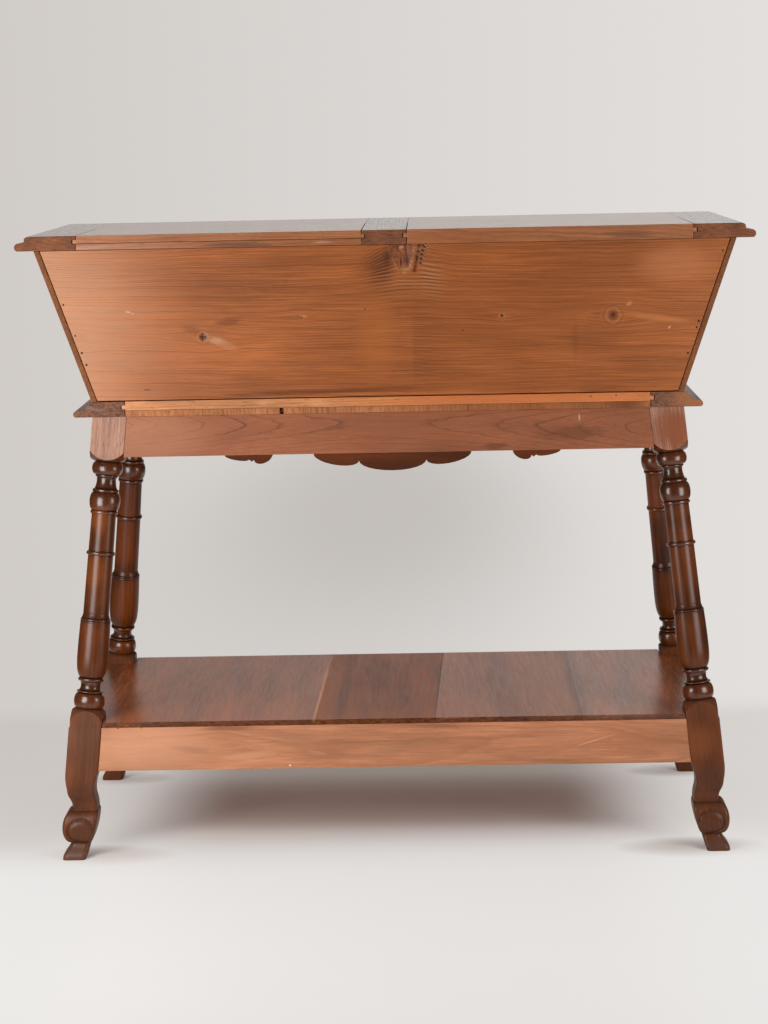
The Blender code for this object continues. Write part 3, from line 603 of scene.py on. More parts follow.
def leg_mesh(name, sx, sy):
    """Block, turning and two-way scroll foot, finer than the solid and of the same story stick."""
    lean = Matrix.Rotation(sy * SPLAY_Y, 4, "X") @ Matrix.Rotation(-sx * SPLAY_X, 4, "Y")
    matrix = Matrix.Translation((sx * LEG_X, LEG_Y[sy], STAND_HEIGHT)) @ lean
    up = matrix.to_3x3().transposed() @ Z
    half = LEG_BLOCK / 2
    length = (STAND_HEIGHT - FOOT_HEIGHT) / up.z
    block_top = []
    for angle in COLUMNS:
        reach = square_reach(angle, half, half, BLOCK_ARRIS)
        x, y = reach * math.cos(angle), reach * math.sin(angle)
        block_top.append(Vector((x, y, (-GAP - up.x * sx * x - up.y * sy * y) / up.z)))
    profile, grooves, turned = turned_profile(length)
    upper = pommel_rings(half, UPPER_TURNING[0][1], POMMEL_CLIMB, LEG_BLOCK_LENGTH + POMMEL, 1)
    rings = [block_top] + upper
    groove_wax_and_shade = [0.0] * len(rings)
    for (fall, radius), groove in zip(profile, grooves):
        rings.append([Vector((radius * math.cos(a), radius * math.sin(a), -fall)) for a in COLUMNS])
        groove_wax_and_shade.append(groove)
    shoulder = pommel_rings(FOOT_BLOCK / 2, NECK[-1][2], FOOT_CLIMB, length, -1)
    rings += reversed(shoulder)
    rings = [[matrix @ Vector((sx * p.x, sy * p.y, p.z)) for p in ring] for ring in rings]
    axis = matrix.to_3x3() @ Z
    for height, inner, outer, arris in foot_sections():
        centre = matrix.translation + axis * ((height - STAND_HEIGHT) / axis.z)
        ledge = FOOT_BLOCK / 2 if height > LEDGE_END else outer
        outer_y = ledge + (outer - ledge) * smooth(SHELF_UNDERSIDE, LEDGE_END, height)
        ring = []
        for angle in COLUMNS:
            reach = square_reach(angle, inner, outer, arris, outer_y)
            x, y = reach * math.cos(angle), reach * math.sin(angle)
            if x > 0 and y > 0 or x > outer - FACE_REACH or y > outer - FACE_REACH:
                if x >= y:
                    x += scroll_pad(outer - y, height)
                else:
                    y += scroll_pad(outer - x, height)
            ring.append(centre + Vector((sx * x, sy * y, 0.0)))
        rings.append(ring)
    groove_wax_and_shade += [0.0] * (len(rings) - len(groove_wax_and_shade))
    zones = [BLOCK, BLOCK] + [POLISHED] * (len(upper) - 1) + turned
    zones += [FOOT] * (len(rings) - len(zones))
    kept = [(rings[0], groove_wax_and_shade[0], zones[0])]
    for ring, groove, zone in zip(rings[1:], groove_wax_and_shade[1:], zones[1:]):
        if max((a - b).length for a, b in zip(ring, kept[-1][0])) > RING_MERGE:
            kept.append((ring, groove, zone))
    mesh = lofted(name, [ring for ring, _, _ in kept])
    # Depth in a groove sets the old wax and painted shade of the quirks
    mesh.attributes.new("groove", "FLOAT", "POINT").data.foreach_set(
        "value", [groove for _, groove, _ in kept for _ in COLUMNS])
    sides = [zone for _, _, zone in kept[1:] for _ in COLUMNS]
    return mesh, axis, sides + [BLOCK, FOOT]


def lofted(name, rings):
    """Closed mesh through rings of equal count, with its faces outwards."""
    shape = bmesh.new()
    rows = [[shape.verts.new(p) for p in ring] for ring in rings]
    count = len(rows[0])
    for upper, lower in zip(rows, rows[1:]):
        for i in range(count):
            j = (i + 1) % count
            shape.faces.new((upper[i], upper[j], lower[j], lower[i]))
    shape.faces.new(rows[0])
    shape.faces.new(rows[-1])
    bmesh.ops.recalc_face_normals(shape, faces=shape.faces)
    mesh = mesh_of(shape, name)
    mesh.shade_smooth()
    mesh.set_sharp_from_angle(angle=LEG_SHARP)
    return mesh


def bin_half(z):
    """Half the back board's width at a height, with the joint at its ends a little open."""
    return BIN_BASE_WIDTH / 2 + (z - BIN_LEVEL) * math.tan(BIN_SLOPE) - BIN_LIP - END_JOINT


def smooth(low, high, value):
    """0 at low, 1 at high, with soft ends."""
    share = min(1.0, max(0.0, (value - low) / (high - low)))
    return share * share * (3 - 2 * share)


def ragged(x, z, size):
    """Uneven value between about -1 and 1 that changes over a size in metres."""
    return noise.noise(Vector((x / size, z / size, 3.7)))


# Broken knot at the top of the back board: heights of its foot and top, and its parts as
# (middle at the foot, middle at the top, half width), from the bowl to the torn bands beside it
CUP_FOOT = 0.9566
CUP_TOP = 0.9990
BOWL_DEPTH = 0.0060
BLACK_BAND = (0.0485, 0.0575, 0.0034)
SLOTTED_BAND = (0.0560, 0.0645, 0.0030)
STRIPED_BAND = (0.0620, 0.0705, 0.0034)
# Slots and stripes across the torn bands repeat over these lengths
SLOT_PITCH = 0.0075
STRIPE_PITCH = 0.0042
# Soft places in and round it, as (middle x, middle z, reach x, reach z): a pale chip in its bowl,
# the swelling of the grain, ribs to the left, to the right and below, painted with shade in their hollows
# and with highlights on their ridges, and a spot of painted dark shade
CHIP = (0.0291, 0.9965, 0.0032, 0.0035)
SWELL = (0.038, 0.985, 0.050, 0.055)
LEFT_RIBS = (-0.006, 0.962, 0.027, 0.035)
RIGHT_RIBS = (0.074, 0.945, 0.020, 0.030)
UNDER_RIBS = (0.035, 0.937, 0.040, 0.016)
SHADE = (0.004, 0.978, 0.010, 0.020)
# Ribs, and fainter waves lower down the board, repeat over these lengths
RIB_PITCH = 0.0057
WAVE_PITCH = 0.0062


def place_share(x, z, middle_x, middle_z, reach_x, reach_z):
    """1 in the middle of a soft place, fading out over its reach."""
    return math.exp(-((x - middle_x) / reach_x) ** 2 - ((z - middle_z) / reach_z) ** 2)


def band(part, rise, x):
    """How far a point lies inside a torn band, 0 to 1."""
    low, high, half = part
    return 1 - smooth(0.65, 1.05, abs(x - low - (high - low) * rise) / half)


def broken_knot(x, z):
    """Torn-out knot at the top of the back board: depth, dark, pale and reddish shares."""
    rise = (z - CUP_FOOT) / (CUP_TOP - CUP_FOOT)
    if rise < -0.12 or not -0.03 < x < 0.10:
        return 0.0, 0.0, 0.0, 0.0
    up = min(1.1, max(0.0, rise))
    left = 0.0297 - 0.0217 * math.sqrt(up) + 0.0006 * ragged(x * 0.1, z, 0.005)
    right = 0.0344 + 0.0131 * up ** 0.4
    half = (right - left) / 2 + 0.0001
    off = (x - left - half) / half
    floor = smooth(-0.10, 0.02, rise)
    inside = (1 - smooth(0.90, 1.02, abs(off))) * smooth(-0.02, 0.05, rise)
    fibres = 0.5 + 0.5 * ragged(x, z * 0.10, 0.0020)
    specks = smooth(-0.05, 0.30, ragged(x + 0.3, z, 0.0030))
    depth = BOWL_DEPTH * inside * (1 - 0.6 * off * off) * (0.45 + 0.55 * up)
    dark = 0.80 * inside * smooth(0.40, 0.75, fibres) * smooth(0.10, 0.3, rise)
    dark = max(dark, 0.55 * inside * specks * smooth(0.15, 0.45, rise))
    dark = max(dark, 0.40 * inside * smooth(0.40, 0.95, off) * smooth(0.15, 0.4, rise))
    rim = floor * (1 - smooth(0.06, 0.22, abs(abs(off) - 1.0)))
    rim *= 1 - 0.9 * smooth(0.25, 0.60, rise) if off < 0 else 1 - 0.6 * smooth(0.45, 0.85, rise)
    rim *= smooth(-0.35, 0.25, ragged(x + 0.7, z, 0.0042))
    rim = max(rim, (1 - smooth(0.03, 0.16, abs(rise - 0.03))) * (1 - smooth(0.9, 1.4, abs(off))))
    black = band(BLACK_BAND, rise, x) * smooth(-0.06, 0.06, rise)
    slotted = band(SLOTTED_BAND, rise, x) * smooth(0.22, 0.34, rise)
    striped = band(STRIPED_BAND, rise, x) * smooth(0.55, 0.70, rise)
    slots = smooth(0.15, 0.5, math.sin((z + 0.5 * x) / SLOT_PITCH * math.tau))
    stripes = smooth(-0.2, 0.4, math.sin((z - 0.6 * x) / STRIPE_PITCH * math.tau))
    depth += 0.0035 * black + 0.0020 * slotted * slots + 0.0012 * striped * stripes
    torn = smooth(0.30, 0.60, rise)
    dark = max(dark, black * (0.25 + 0.05 * torn + 0.65 * torn * specks))
    dark = max(dark, slotted * (0.35 + 0.6 * slots), 0.7 * striped * stripes)
    chip = place_share(x, z, *CHIP)
    bare_and_highlight = max(0.75 * rim, 0.6 * striped * (1 - stripes), 0.35 * slotted * (1 - slots), chip)
    bare_and_highlight = max(bare_and_highlight, 0.7 * black * torn * (1 - specks))
    heart = inside * (1 - min(1.0, rim)) * (1 - chip)
    return depth - 0.003 * chip, dark * (1 - chip), min(bare_and_highlight, 1.0), heart


def back_point(x, z):
    """Relief and marks of the back board's face at one point, with where its grain runs."""
    depth, stain_and_shade, bare_and_highlight, heart = broken_knot(x, z)
    above = z - WEDGE_TIP[1]
    opened = min(abs(above), WEDGE_SLOPE * max(0.0, WEDGE_TIP[0] - x))
    across = z - BACK_HEART - math.copysign(opened, above) * math.exp(-(above / 0.030) ** 2)
    knot = 0.0
    for kx, kz, radius, reach in BACK_KNOTS:
        dx, dz = x - kx, z - kz
        near = place_share(x, z, kx, kz, 1.6 * reach, reach)
        across -= 0.95 * radius * near * dz / math.sqrt(dz * dz + (0.35 * radius) ** 2)
        away = math.hypot(dx, dz) / radius * (1 + 0.10 * ragged(x, z, 0.006))
        ring = 0.5 + 0.5 * math.cos(away * 8.0 + 1.2 * ragged(x, z, 0.008))
        core = 1 - smooth(0.55, 0.95, away)
        round_it = smooth(0.80, 1.0, away) * (1 - smooth(1.2, 2.3, away))
        knot = max(knot, core * (0.60 + 0.20 * ring), 0.26 * ring * round_it)
        bare_and_highlight = max(bare_and_highlight, 0.34 * round_it * (1 - ring))
        cross = min(abs(dx), abs(dz)) < 0.0009 and away < 0.85 and kx < -0.2
        stain_and_shade = max(stain_and_shade, 1.0 if cross else 0.7 * (1 - smooth(0.10, 0.45, away)))
        depth += 0.0005 * core + (0.0010 if cross else 0.0)
    # The grain swells up to the broken knot and is ribbed on both sides of it and below. Painted shade
    # darkens the ribs' hollows, all of the ribbed place to the left and the shade spot; painted highlights
    # pale the ridges to the right and below.
    across -= 0.013 * place_share(x, z, *SWELL)
    left = place_share(x, z, *LEFT_RIBS) * (1 - smooth(0.008, 0.030, x))
    shade = place_share(x, z, *SHADE) * (1 - heart)
    right = place_share(x, z, *RIGHT_RIBS) * smooth(0.046, 0.062, x)
    under = place_share(x, z, *UNDER_RIBS) * (1 - smooth(0.950, 0.957, z))
    steep = 0.42 * smooth(0.945, 0.985, z)
    slant = z - (0.14 + steep) * min(x, 0.02) + 0.10 * max(x - 0.06, 0.0)
    rib = 0.5 + 0.5 * math.sin(slant / RIB_PITCH * math.tau + 1.6 * ragged(x, z, 0.025))
    depth += 0.0010 * (left + right + 0.7 * under) * rib
    stain_and_shade = max(stain_and_shade, 0.90 * left * (0.22 + 0.78 * rib), 0.75 * shade * (1 - bare_and_highlight), 0.44 * right * rib,
                0.38 * under * rib)
    bare_and_highlight = max(bare_and_highlight, 0.75 * right * (1 - rib) ** 2, 0.36 * under * (1 - rib))
    # Fainter waves lower down, darker over this place and darker still in their hollows as painted shade
    below = smooth(0.040, 0.047, x) * (1 - smooth(0.055, 0.120, x))
    below *= smooth(0.76, 0.79, z) * (1 - smooth(0.85, 0.95, z))
    wave = math.sin((z + 0.10 * x) / WAVE_PITCH * math.tau + 2.0 * ragged(x, z, 0.03))
    depth += 0.00035 * below * (0.5 + 0.5 * wave)
    stain_and_shade = max(stain_and_shade, 0.26 * below * (0.6 + 0.4 * wave))
    return depth, across, {"knot": knot, "stain_and_shade": stain_and_shade, "bare_and_highlight": bare_and_highlight, "heart": heart}


def spaced(low, high, coarse, fine, spots):
    """Grid lines from low to high, finer near the given (middle, reach) spots."""
    lines = [low]
    while lines[-1] < high - fine:
        close = any(abs(lines[-1] - middle) < reach for middle, reach in spots)
        lines.append(min(high, lines[-1] + (fine if close else coarse)))
    lines[-1] = high
    return lines


def bin_back_mesh():
    """Back board with its broken knot, small knots and rippled grain worked into the face."""
    fine_x = [(k[0], 2.2 * k[2]) for k in BACK_KNOTS] + [BROKEN_PLACE]
    half_middle = bin_half(BIN_LEVEL + BIN_HEIGHT / 2)
    xs = spaced(-half_middle, half_middle, COARSE_GRID, FINE_GRID, fine_x)
    zs = spaced(BIN_LEVEL + BACK_LIFT, BIN_LEVEL + BIN_HEIGHT, ROW_GRID, ROW_GRID, ())
    shares = [-1.0, -1.0 + EDGE_SHARE] + [x / half_middle for x in xs[1:-1]] + [1.0 - EDGE_SHARE, 1.0]
    heights = [zs[0], zs[0] + EDGE_ROW] + zs[1:-1] + [zs[-1] - EDGE_ROW, zs[-1]]
    shape = bmesh.new()
    # The knot's stains with painted shade, and its torn wood with painted highlights, go to the points
    names = ("knot", "stain_and_shade", "bare_and_highlight", "heart", "arris", "end_grain")
    layers = {name: shape.verts.layers.float.new(name) for name in names}
    grain = shape.verts.layers.float_vector.new("grain")
    inner_y = BACK_Y + BIN_BOARD - GAP
    rows = []
    for j, z in enumerate(heights):
        row = []
        for i, share in enumerate(shares):
            x = share * bin_half(z)
            depth, across, marks = back_point(x, z)
            edge = i in (0, len(shares) - 1) or j in (0, len(heights) - 1)
            vertex = shape.verts.new((x, BACK_Y + depth + (EDGE_EASE if edge else 0.0), z))
            vertex[grain] = Vector((x, across + HEART_RISE * x, HEART_DEPTH + depth + HEART_LEAN * x))
            for name, value in marks.items():
                vertex[layers[name]] = value
            row.append(vertex)
        rows.append(row)
    for lower, upper in zip(rows, rows[1:]):
        for i in range(len(shares) - 1):
            shape.faces.new((lower[i], lower[i + 1], upper[i + 1], upper[i]))
    border = rows[0][:-1] + [row[-1] for row in rows[:-1]] + rows[-1][:0:-1] + [row[0] for row in rows[:0:-1]]
    inner = []
    for vertex in border:
        twin = shape.verts.new((vertex.co.x, inner_y, vertex.co.z))
        twin[grain] = Vector((vertex.co.x, vertex.co.z - BACK_HEART, HEART_DEPTH + BIN_BOARD))
        inner.append(twin)
    for i in range(len(border)):
        j = (i + 1) % len(border)
        shape.faces.new((border[j], border[i], inner[i], inner[j]))
    shape.faces.new(inner)
    bmesh.ops.recalc_face_normals(shape, faces=shape.faces)
    mesh = mesh_of(shape, "bin_back_timber")
    mesh.shade_smooth()
    mesh.set_sharp_from_angle(angle=BOARD_SHARP)
    return mesh


# Nails: distance in from the sloping edge, radius and height of the heads
NAIL_INSET = 0.0050
NAIL_RADIUS = 0.0016
NAIL_CROWN = 0.0006


def nail_heads(name, body, spots, radius, iron):
    """Nail heads of one body by Geometry Nodes: a low crowned disc on each spot, turned to face out
    and sized a little apart."""
    points = bpy.data.meshes.new(name + "_spots")
    points.from_pydata([place for place, _ in spots], [], [])
    facing = points.attributes.new("facing", "FLOAT_VECTOR", "POINT")
    facing.data.foreach_set("vector", [c for _, normal in spots for c in normal])
    holder = linked(name + "_spots", points)
    tree = bpy.data.node_groups.new("Nail heads " + body, "GeometryNodeTree")
    for socket, way, kind in (("Spots", "INPUT", "Geometry"), ("Radius", "INPUT", "Float"),
                              ("Crown", "INPUT", "Float"), ("Nails", "OUTPUT", "Geometry")):
        tree.interface.new_socket(socket, in_out=way, socket_type="NodeSocket" + kind)
    put = partial(add, tree)
    given = put("NodeGroupInput").outputs
    crown = put("Math:MULTIPLY", given["Radius"], 0.72)
    head = put("GeometryNodeMeshCone", Vertices=14, Side_Segments=2, Fill_Segments=2, Radius_Top=crown,
               Radius_Bottom=given["Radius"], Depth=given["Crown"])
    normal = put("GeometryNodeInputNamedAttribute", Name="facing", data_type="FLOAT_VECTOR")
    aim = put("FunctionNodeAlignRotationToVector", Vector=normal, axis="Z")
    size = put("FunctionNodeRandomValue", Min=0.8, Max=1.2, Seed=11, data_type="FLOAT")
    placed = put("GeometryNodeInstanceOnPoints", Points=given["Spots"], Instance=head, Rotation=aim,
                 Scale=size)
    real = put("GeometryNodeRealizeInstances", placed)
    put("NodeGroupOutput", Nails=put("GeometryNodeSetMaterial", Geometry=real, Material=iron))
    modifier = holder.modifiers.new("Nail heads", "NODES")
    modifier.node_group = tree
    sockets = {item.name: item.identifier for item in tree.interface.items_tree if item.in_out == "INPUT"}
    modifier[sockets["Radius"]] = radius
    modifier[sockets["Crown"]] = NAIL_CROWN
    bpy.context.view_layer.update()
    evaluated = holder.evaluated_get(bpy.context.evaluated_depsgraph_get())
    mesh = bpy.data.meshes.new_from_object(evaluated)
    holder.modifiers.remove(modifier)
    bpy.data.objects.remove(holder)
    mesh.name = name
    nails = linked(name, mesh)
    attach(nails, body)
    return nails


def rusted_iron():
    """Hand-made nail heads gone brown-black: rough, hardly metallic, with rust in the hollows."""
    material = bpy.data.materials.new("Rusted iron nail heads")
    put = fresh_nodes(material)
    place = put("TexCoord").outputs["Object"]
    pitting = put("TexNoise", place, Scale=1 / 0.0012, Detail=3.0)
    colour = put("Mix", pitting, A=linear("#1E1512"), B=linear("#4A2A1A"), **RGBA)
    bump = put("Bump", Height=pitting, Strength=1.0, Distance=0.0002)
    surface = put("BsdfPrincipled", Base_Color=colour, Metallic=0.3, Roughness=0.6, Normal=bump)
    put("OutputMaterial", Surface=surface)
    return material


def upright(y, deep, *rows):
    """Marks on a face towards the back, from rows of x, z, reach along and up, colour, strength and turn."""
    return [(x, y, z, wide, deep, high, *rest) for x, z, wide, high, *rest in rows]


def level(z, *rows):
    """Marks on a level face, from rows of x, y, reach along, back and up, colour, strength and turn."""
    return [(x, y, z, *rest, 0.0, turn) for x, y, *rest, turn in rows]


# Marks are placed in millimetres, on the backs of boards and lower rail and on top of the shelf
BACK = BACK_Y * 1000
LOW_RAIL_BACK = -288
SHELF_TOP = 227.7
# Back board: painted light and sheen of the left lamp over the left end, a painted pool of light from
# the right lamp at the top right, a smear beside the cross-cracked knot, a scar, darker and brighter bands
BACK_MARKS = upright(
    BACK, 100,
    # Painted light and sheen of the left lamp over the left end
    (-600, 890, 300, 320, "#CE9870", 0.42),
    (250, 890, 240, 120, "#86481F", 0.36),
    (50, 772, 550, 24, "#7E421C", 0.34),
    (-277, 850.5, 18, 8, "#C89C78", 0.42, 10),
    (-264, 844, 32, 10, "#BC8862", 0.34, 24),
    (-256, 880, 30, 10, "#6E3514", 0.55, -8),
    (-315, 868, 24, 9, "#6E3514", 0.4, 20),
    (-418.4, 899.4, 6, 2.2, "#D9B08E", 0.5, 10),
    (-411, 896.5, 4, 1.8, "#D0A07C", 0.45, -14),
    (-133, 886.8, 8, 2, "#C99C78", 0.35),
    (-100, 764, 260, 6, "#4E240C", 0.6, -1),
    (440, 874, 70, 7, "#BE7440", 0.65, 7),
    # Painted pool of light from the right lamp at the top right
    (470, 960, 85, 42, "#C47C4E", 0.42),
    (340, 842, 75, 30, "#6E3A18", 0.35),
    (-15, 855, 42, 90, "#B4662C", 0.32),
    (307, 840, 7, 50, "#5E3014", 0.2),
    (-392, 771.5, 9, 2.2, "#5A2C12", 0.7),
    (-32.9, 896.8, 2.5, 2.5, "#4A2410", 0.7),
    (125.5, 859.7, 3, 2.2, "#4A2410", 0.7),
    (460, 858, 1.8, 4, "#D9B795", 0.6, 35),
    (189.1, 882, 7.5, 5, "#B87848", 0.45),
    (188.8, 882, 3.4, 3, "#2A1207", 0.95),
    (368.8, 879.6, 6, 7, "#4A2010", 0.7),
    (395, 897.5, 7.5, 4.5, "#C49068", 0.5, -20),
)
# Lid: dark and pale patches along its back edge, redder in the middle
LID_MARKS = upright(
    BACK, 50,
    (-237.5, 1005, 75, 5, "#4E382C", 0.75),
    (-100, 1006.5, 20, 3, "#B49880", 0.55),
    (397, 1009, 55, 10, "#6E442E", 0.6),
    (512.8, 1008.7, 12, 8, "#6A4640", 0.6),
    (120, 1012, 110, 20, "#8A4A26", 0.35),
    (-300, 1003, 260, 5, "#74462C", 0.45),
)
# Long boards of the table top: redder to the right, pale planed patches to the left
TOP_MARKS = upright(
    BACK, 100,
    (240, 745, 360, 40, "#CE6C2C", 0.62),
    (-200, 746, 22, 6, "#DCA57C", 0.3),
    (-115, 745, 32, 6, "#D79E74", 0.28),
    (332, 748, 2, 2, "#2E1508", 0.9),
    (373, 749, 2, 2, "#2E1508", 0.9),
)
# Cross boards: browner to the right, darkest at the right end
CROSS_MARKS = upright(
    BACK, 100,
    (260, 735, 300, 30, "#854B2A", 0.6),
    (387.5, 735, 42, 20, "#5E3620", 0.55),
)
# Shelf: pale split along the first seam, dark line along the second, amber beside both, dark and grey
# streaks, paler to the right and darker along the edge and by the legs
SHELF_MARKS = level(
    SHELF_TOP,
    (360, 0, 200, 500, 10, "#B07E66", 0.22, 0),
    (-20, 0, 120, 500, 10, "#502A18", 0.16, 0),
    (-125.2, -30, 3.6, 360, 10, "#E8965A", 1, -1.3),
    (-108, 0, 20, 600, 3, "#A65C2C", 0.46, -1),
    (-85, 10, 14, 600, 10, "#4A2A1E", 0.38, -1),
    (77, 0, 1.4, 600, 10, "#1E120C", 0.75, -1.68),
    (98, -80, 26, 500, 3, "#A65C2C", 0.55, -1.68),
    (312, -50, 18, 600, 10, "#4E2C1E", 0.46, 0),
    (394, -80, 16, 200, 10, "#8C6E60", 0.4, -4),
    (-400, 20, 30, 200, 10, "#8C4C28", 0.35, -25),
    (0, -290, 700, 14, 10, "#3E261A", 0.65, 0),
    (-545, 0, 100, 600, 10, "#3A180A", 0.6, 0),
    (545, 0, 100, 600, 10, "#3A180A", 0.6, 0),
)
# Rails of the table top: the right one is browner, the left one has a grey streak
TOP_RAIL_MARKS = (
    (510, BACK, 742, 70, 50, 30, "#AE6E42", 0.6),
    (-480, BACK, 742, 30, 20, 4, "#8E7466", 0.4, 12),
)
# Upper back rail: dark patches and a pale scratch to the right, paler to the left
BACK_RAIL_MARKS = upright(
    BACK, 100,
    (298, 689, 75, 16, "#552F1C", 0.5),
    (175, 670, 30, 8, "#5E341E", 0.5),
    (313, 713, 1.9, 7.5, "#DDB898", 0.65),
    (-380, 695, 120, 50, "#B27A58", 0.45),
    (20, 700, 130, 30, "#8C5236", 0.3),
    (260, 700, 160, 20, "#7A4830", 0.35, 2),
)
# Lower rail: grey smudges along its top and foot, pale and dark patches, dents and a scratch
LOW_RAIL_MARKS = upright(
    LOW_RAIL_BACK, 100,
    (-150, 195, 70, 12, "#9E6E52", 0.45, 6),
    (20, 180, 80, 10, "#A57458", 0.45, -8),
    (-240, 170, 60, 8, "#CF9670", 0.45, -5),
    (130, 162, 70, 7, "#C98E68", 0.4, 4),
    (400, 185, 110, 35, "#9C6242", 0.46),
    (260, 154, 50, 5, "#86583E", 0.5),
    (-400, 190, 130, 60, "#C99170", 0.52),
    (-275, 215, 55, 6, "#7E4E34", 0.65),
    (76, 214, 60, 6, "#84543A", 0.55),
    (-454.9, 219.2, 5, 1.8, "#4A2A1A", 0.85, 40),
    (-415, 218.5, 3, 2.2, "#5A3624", 0.75),
    (-330, 180, 50, 8, "#97694E", 0.45, 8),
    (200, 196, 90, 7, "#8E5C40", 0.4, -3),
    (-80, 165, 120, 6, "#97694E", 0.35),
    (330, 186, 45, 1.2, "#E0B090", 0.6, -16),
    (-171, 153, 2.5, 2, "#E8DCD0", 0.9),
)
# Turnings of all four legs: old dark wax where shaft meets vase and near the rings, painted amber light
# where the left lamp falls on the shafts
LEG_MARKS = (
    (-488, -20, 400, 70, 450, 34, "#1E0D06", 0.55),
    (488, -20, 405, 70, 450, 50, "#1E0D06", 0.62),
    # Painted amber light where the left lamp falls on the near left shaft
    (-490, -240, 475, 30, 50, 40, "#8A4818", 0.4),
    (-478, -240, 560, 24, 50, 34, "#924A18", 0.4),
    (476, -20, 540, 70, 450, 18, "#241007", 0.45),
    # Painted amber light on the far right leg's upper shaft
    (460, 170, 520, 30, 60, 60, "#8A4818", 0.45),
    (-500, -20, 305, 70, 450, 22, "#2A1208", 0.4),
    (500, -20, 300, 70, 450, 22, "#2A1208", 0.45),
    (498, -20, 345, 70, 450, 45, "#220F07", 0.36),
    (470, -220, 600, 50, 60, 50, "#220F07", 0.32),
    (-496, -240, 340, 50, 60, 45, "#2A1208", 0.25),
)
# Feet: painted shade on the scrolls and ankles, toes grey with wear, right block amber
FOOT_MARKS = (
    (500, -265, 180, 45, 60, 40, "#8A4A1E", 0.42),
    # Painted shade on the ankle
    (516, -270, 120, 45, 60, 32, "#3C1E10", 0.4),
    (-505, -265, 180, 45, 60, 45, "#552C10", 0.38),
    # Painted shade on the ankle
    (-516, -270, 105, 45, 60, 28, "#3C1E10", 0.34),
    (-535, -275, 10, 40, 50, 16, "#5E4A3E", 0.5),
    (535, -275, 10, 40, 50, 16, "#5A4438", 0.45),
    # Painted shade on the scrolls
    (-520, -270, 48, 50, 60, 36, "#44230F", 0.42),
    (520, -270, 48, 50, 60, 36, "#44230F", 0.42),
)
# Upper blocks of the back legs: the right one darker and amber, out of the left lamp's painted sheen;
# painted shade at the foot of the left one
BLOCK_MARKS = (
    (470, -220, 690, 55, 80, 60, "#82411C", 0.84),
    # Painted shade at the foot of the left block, by its pommel
    (-470, -220, 660, 40, 50, 10, "#8A6450", 0.4),
)

# Colours of torn wood with painted highlights, the bowl, knots, and stains with painted shade on the back
# board, and of old wax with painted shade in the quirks
KNOT_DETAILS = (("bare_and_highlight", "#C88A5A"), ("heart", "#9A5836"), ("knot", "#5C2C13"), ("stain_and_shade", "#2A1409"))
OLD_WAX_AND_SHADE = (("groove", "#160A05"),)

# Old pine under oil: orange early wood, redder late wood in fine close lines, soft satin
PINE = Finish(early="#A05A2A", late="#63290C", pore="#5E2C10", end="#7A4A2A", worn="#B87846", ring=0.0032,
              line=0.1, wander=0.021, fibre=0.0022, figure=0.66, streak=0.27, cloud=0.19, pores=0.12,
              fleck=(0.004, 0.002), flecks=0.3, gloss=0.42, shine=0.42, relief=0.00018)
pine_back = wood("Oiled pine, knotty back board", PINE, BACK_MARKS, KNOT_DETAILS)
pine = wood("Oiled pine", PINE)
# Lips of the bin's ends, darker with handling
lip_pine = wood("Handled pine lips", PINE, early="#7C4A28", late="#4E2812", gloss=0.5)
# Walnut of the lid, worn and waxed: orange brown at the edges, its top bright at a low angle
LID_WALNUT = Finish(early="#A4653B", late="#68371B", pore="#4A2814", end="#6E4229", worn="#B98159",
                    ring=0.0036, line=0.15, wander=0.016, fibre=0.002, figure=0.65, streak=0.16, cloud=0.16,
                    pores=0.35, fleck=(0.012, 0.0018), flecks=0.35, gloss=0.14, shine=0.55, relief=0.00005,
                    edge=0.32)
lid_walnut = wood("Waxed walnut lid boards", LID_WALNUT, LID_MARKS)
# End rails: rough dark end grain towards the back, grey where handled
RAIL_WALNUT = LID_WALNUT._replace(early="#74462F", late="#4A2A1C", end="#7E4A2C", worn="#A86C42", cloud=0.24,
                                  pores=0.12, relief=0.00003)
frame_walnut = wood("Waxed walnut lid rails", RAIL_WALNUT)
# Rails of the table top: greyer, duller, with broad flecks in the end grain
top_rail_walnut = wood("Worn walnut table rails", RAIL_WALNUT, TOP_RAIL_MARKS, end="#6C4A3A", worn="#9A8478",
                       fleck=(0.006, 0.002), flecks=0.55, gloss=0.3, relief=0.00010)
# Long boards of the table top, paler, sawn and hardly waxed at the edge
top_walnut = wood("Sawn walnut table boards", LID_WALNUT, TOP_MARKS, early="#BC7A47", late="#844924",
                  worn="#C08A60", cloud=0.28, streak=0.22, pores=0.5, gloss=0.4, edge=0.1)
# Cross boards below them: their ends show open pores in upright lines
cross_walnut = wood("Open-grained cross boards", LID_WALNUT, CROSS_MARKS, early="#A56B44", late="#6E4126",
                    end="#A46A44", fleck=(0.0024, 0.018), flecks=0.36, cloud=0.2, gloss=0.45, shine=0.3,
                    edge=0.1)
# Dark walnut turnings, polished: amber brown under a bright wax skin, dark wax and painted shade in the
# quirks
LEG_WALNUT = Finish(early="#5E2C0D", late="#260F05", pore="#1C0C06", end="#4A2815", worn="#8A4E2A",
                    ring=0.008, line=0.1, wander=0.014, fibre=0.0036, figure=0.46, streak=0.12, cloud=0.48,
                    pores=0.3, fleck=(0.004, 0.004), flecks=0.2, gloss=0.45, shine=0.06, coat=1.0,
                    relief=0.00006)
leg_walnut = wood("Polished dark walnut", LEG_WALNUT, LEG_MARKS, OLD_WAX_AND_SHADE)
# Long shafts and vases of the legs, where hands and knees have dulled the polish
rubbed_walnut = wood("Rubbed dark walnut", LEG_WALNUT, LEG_MARKS, OLD_WAX_AND_SHADE, early="#64300E", late="#2A1206",
                     coat=0.46, haze=0.3)
# Apron of the same walnut, warm where its edge takes the light
apron_walnut = wood("Warm walnut apron", LEG_WALNUT, early="#6C3410", late="#3C1C0A", coat=0.1, shine=0.2)
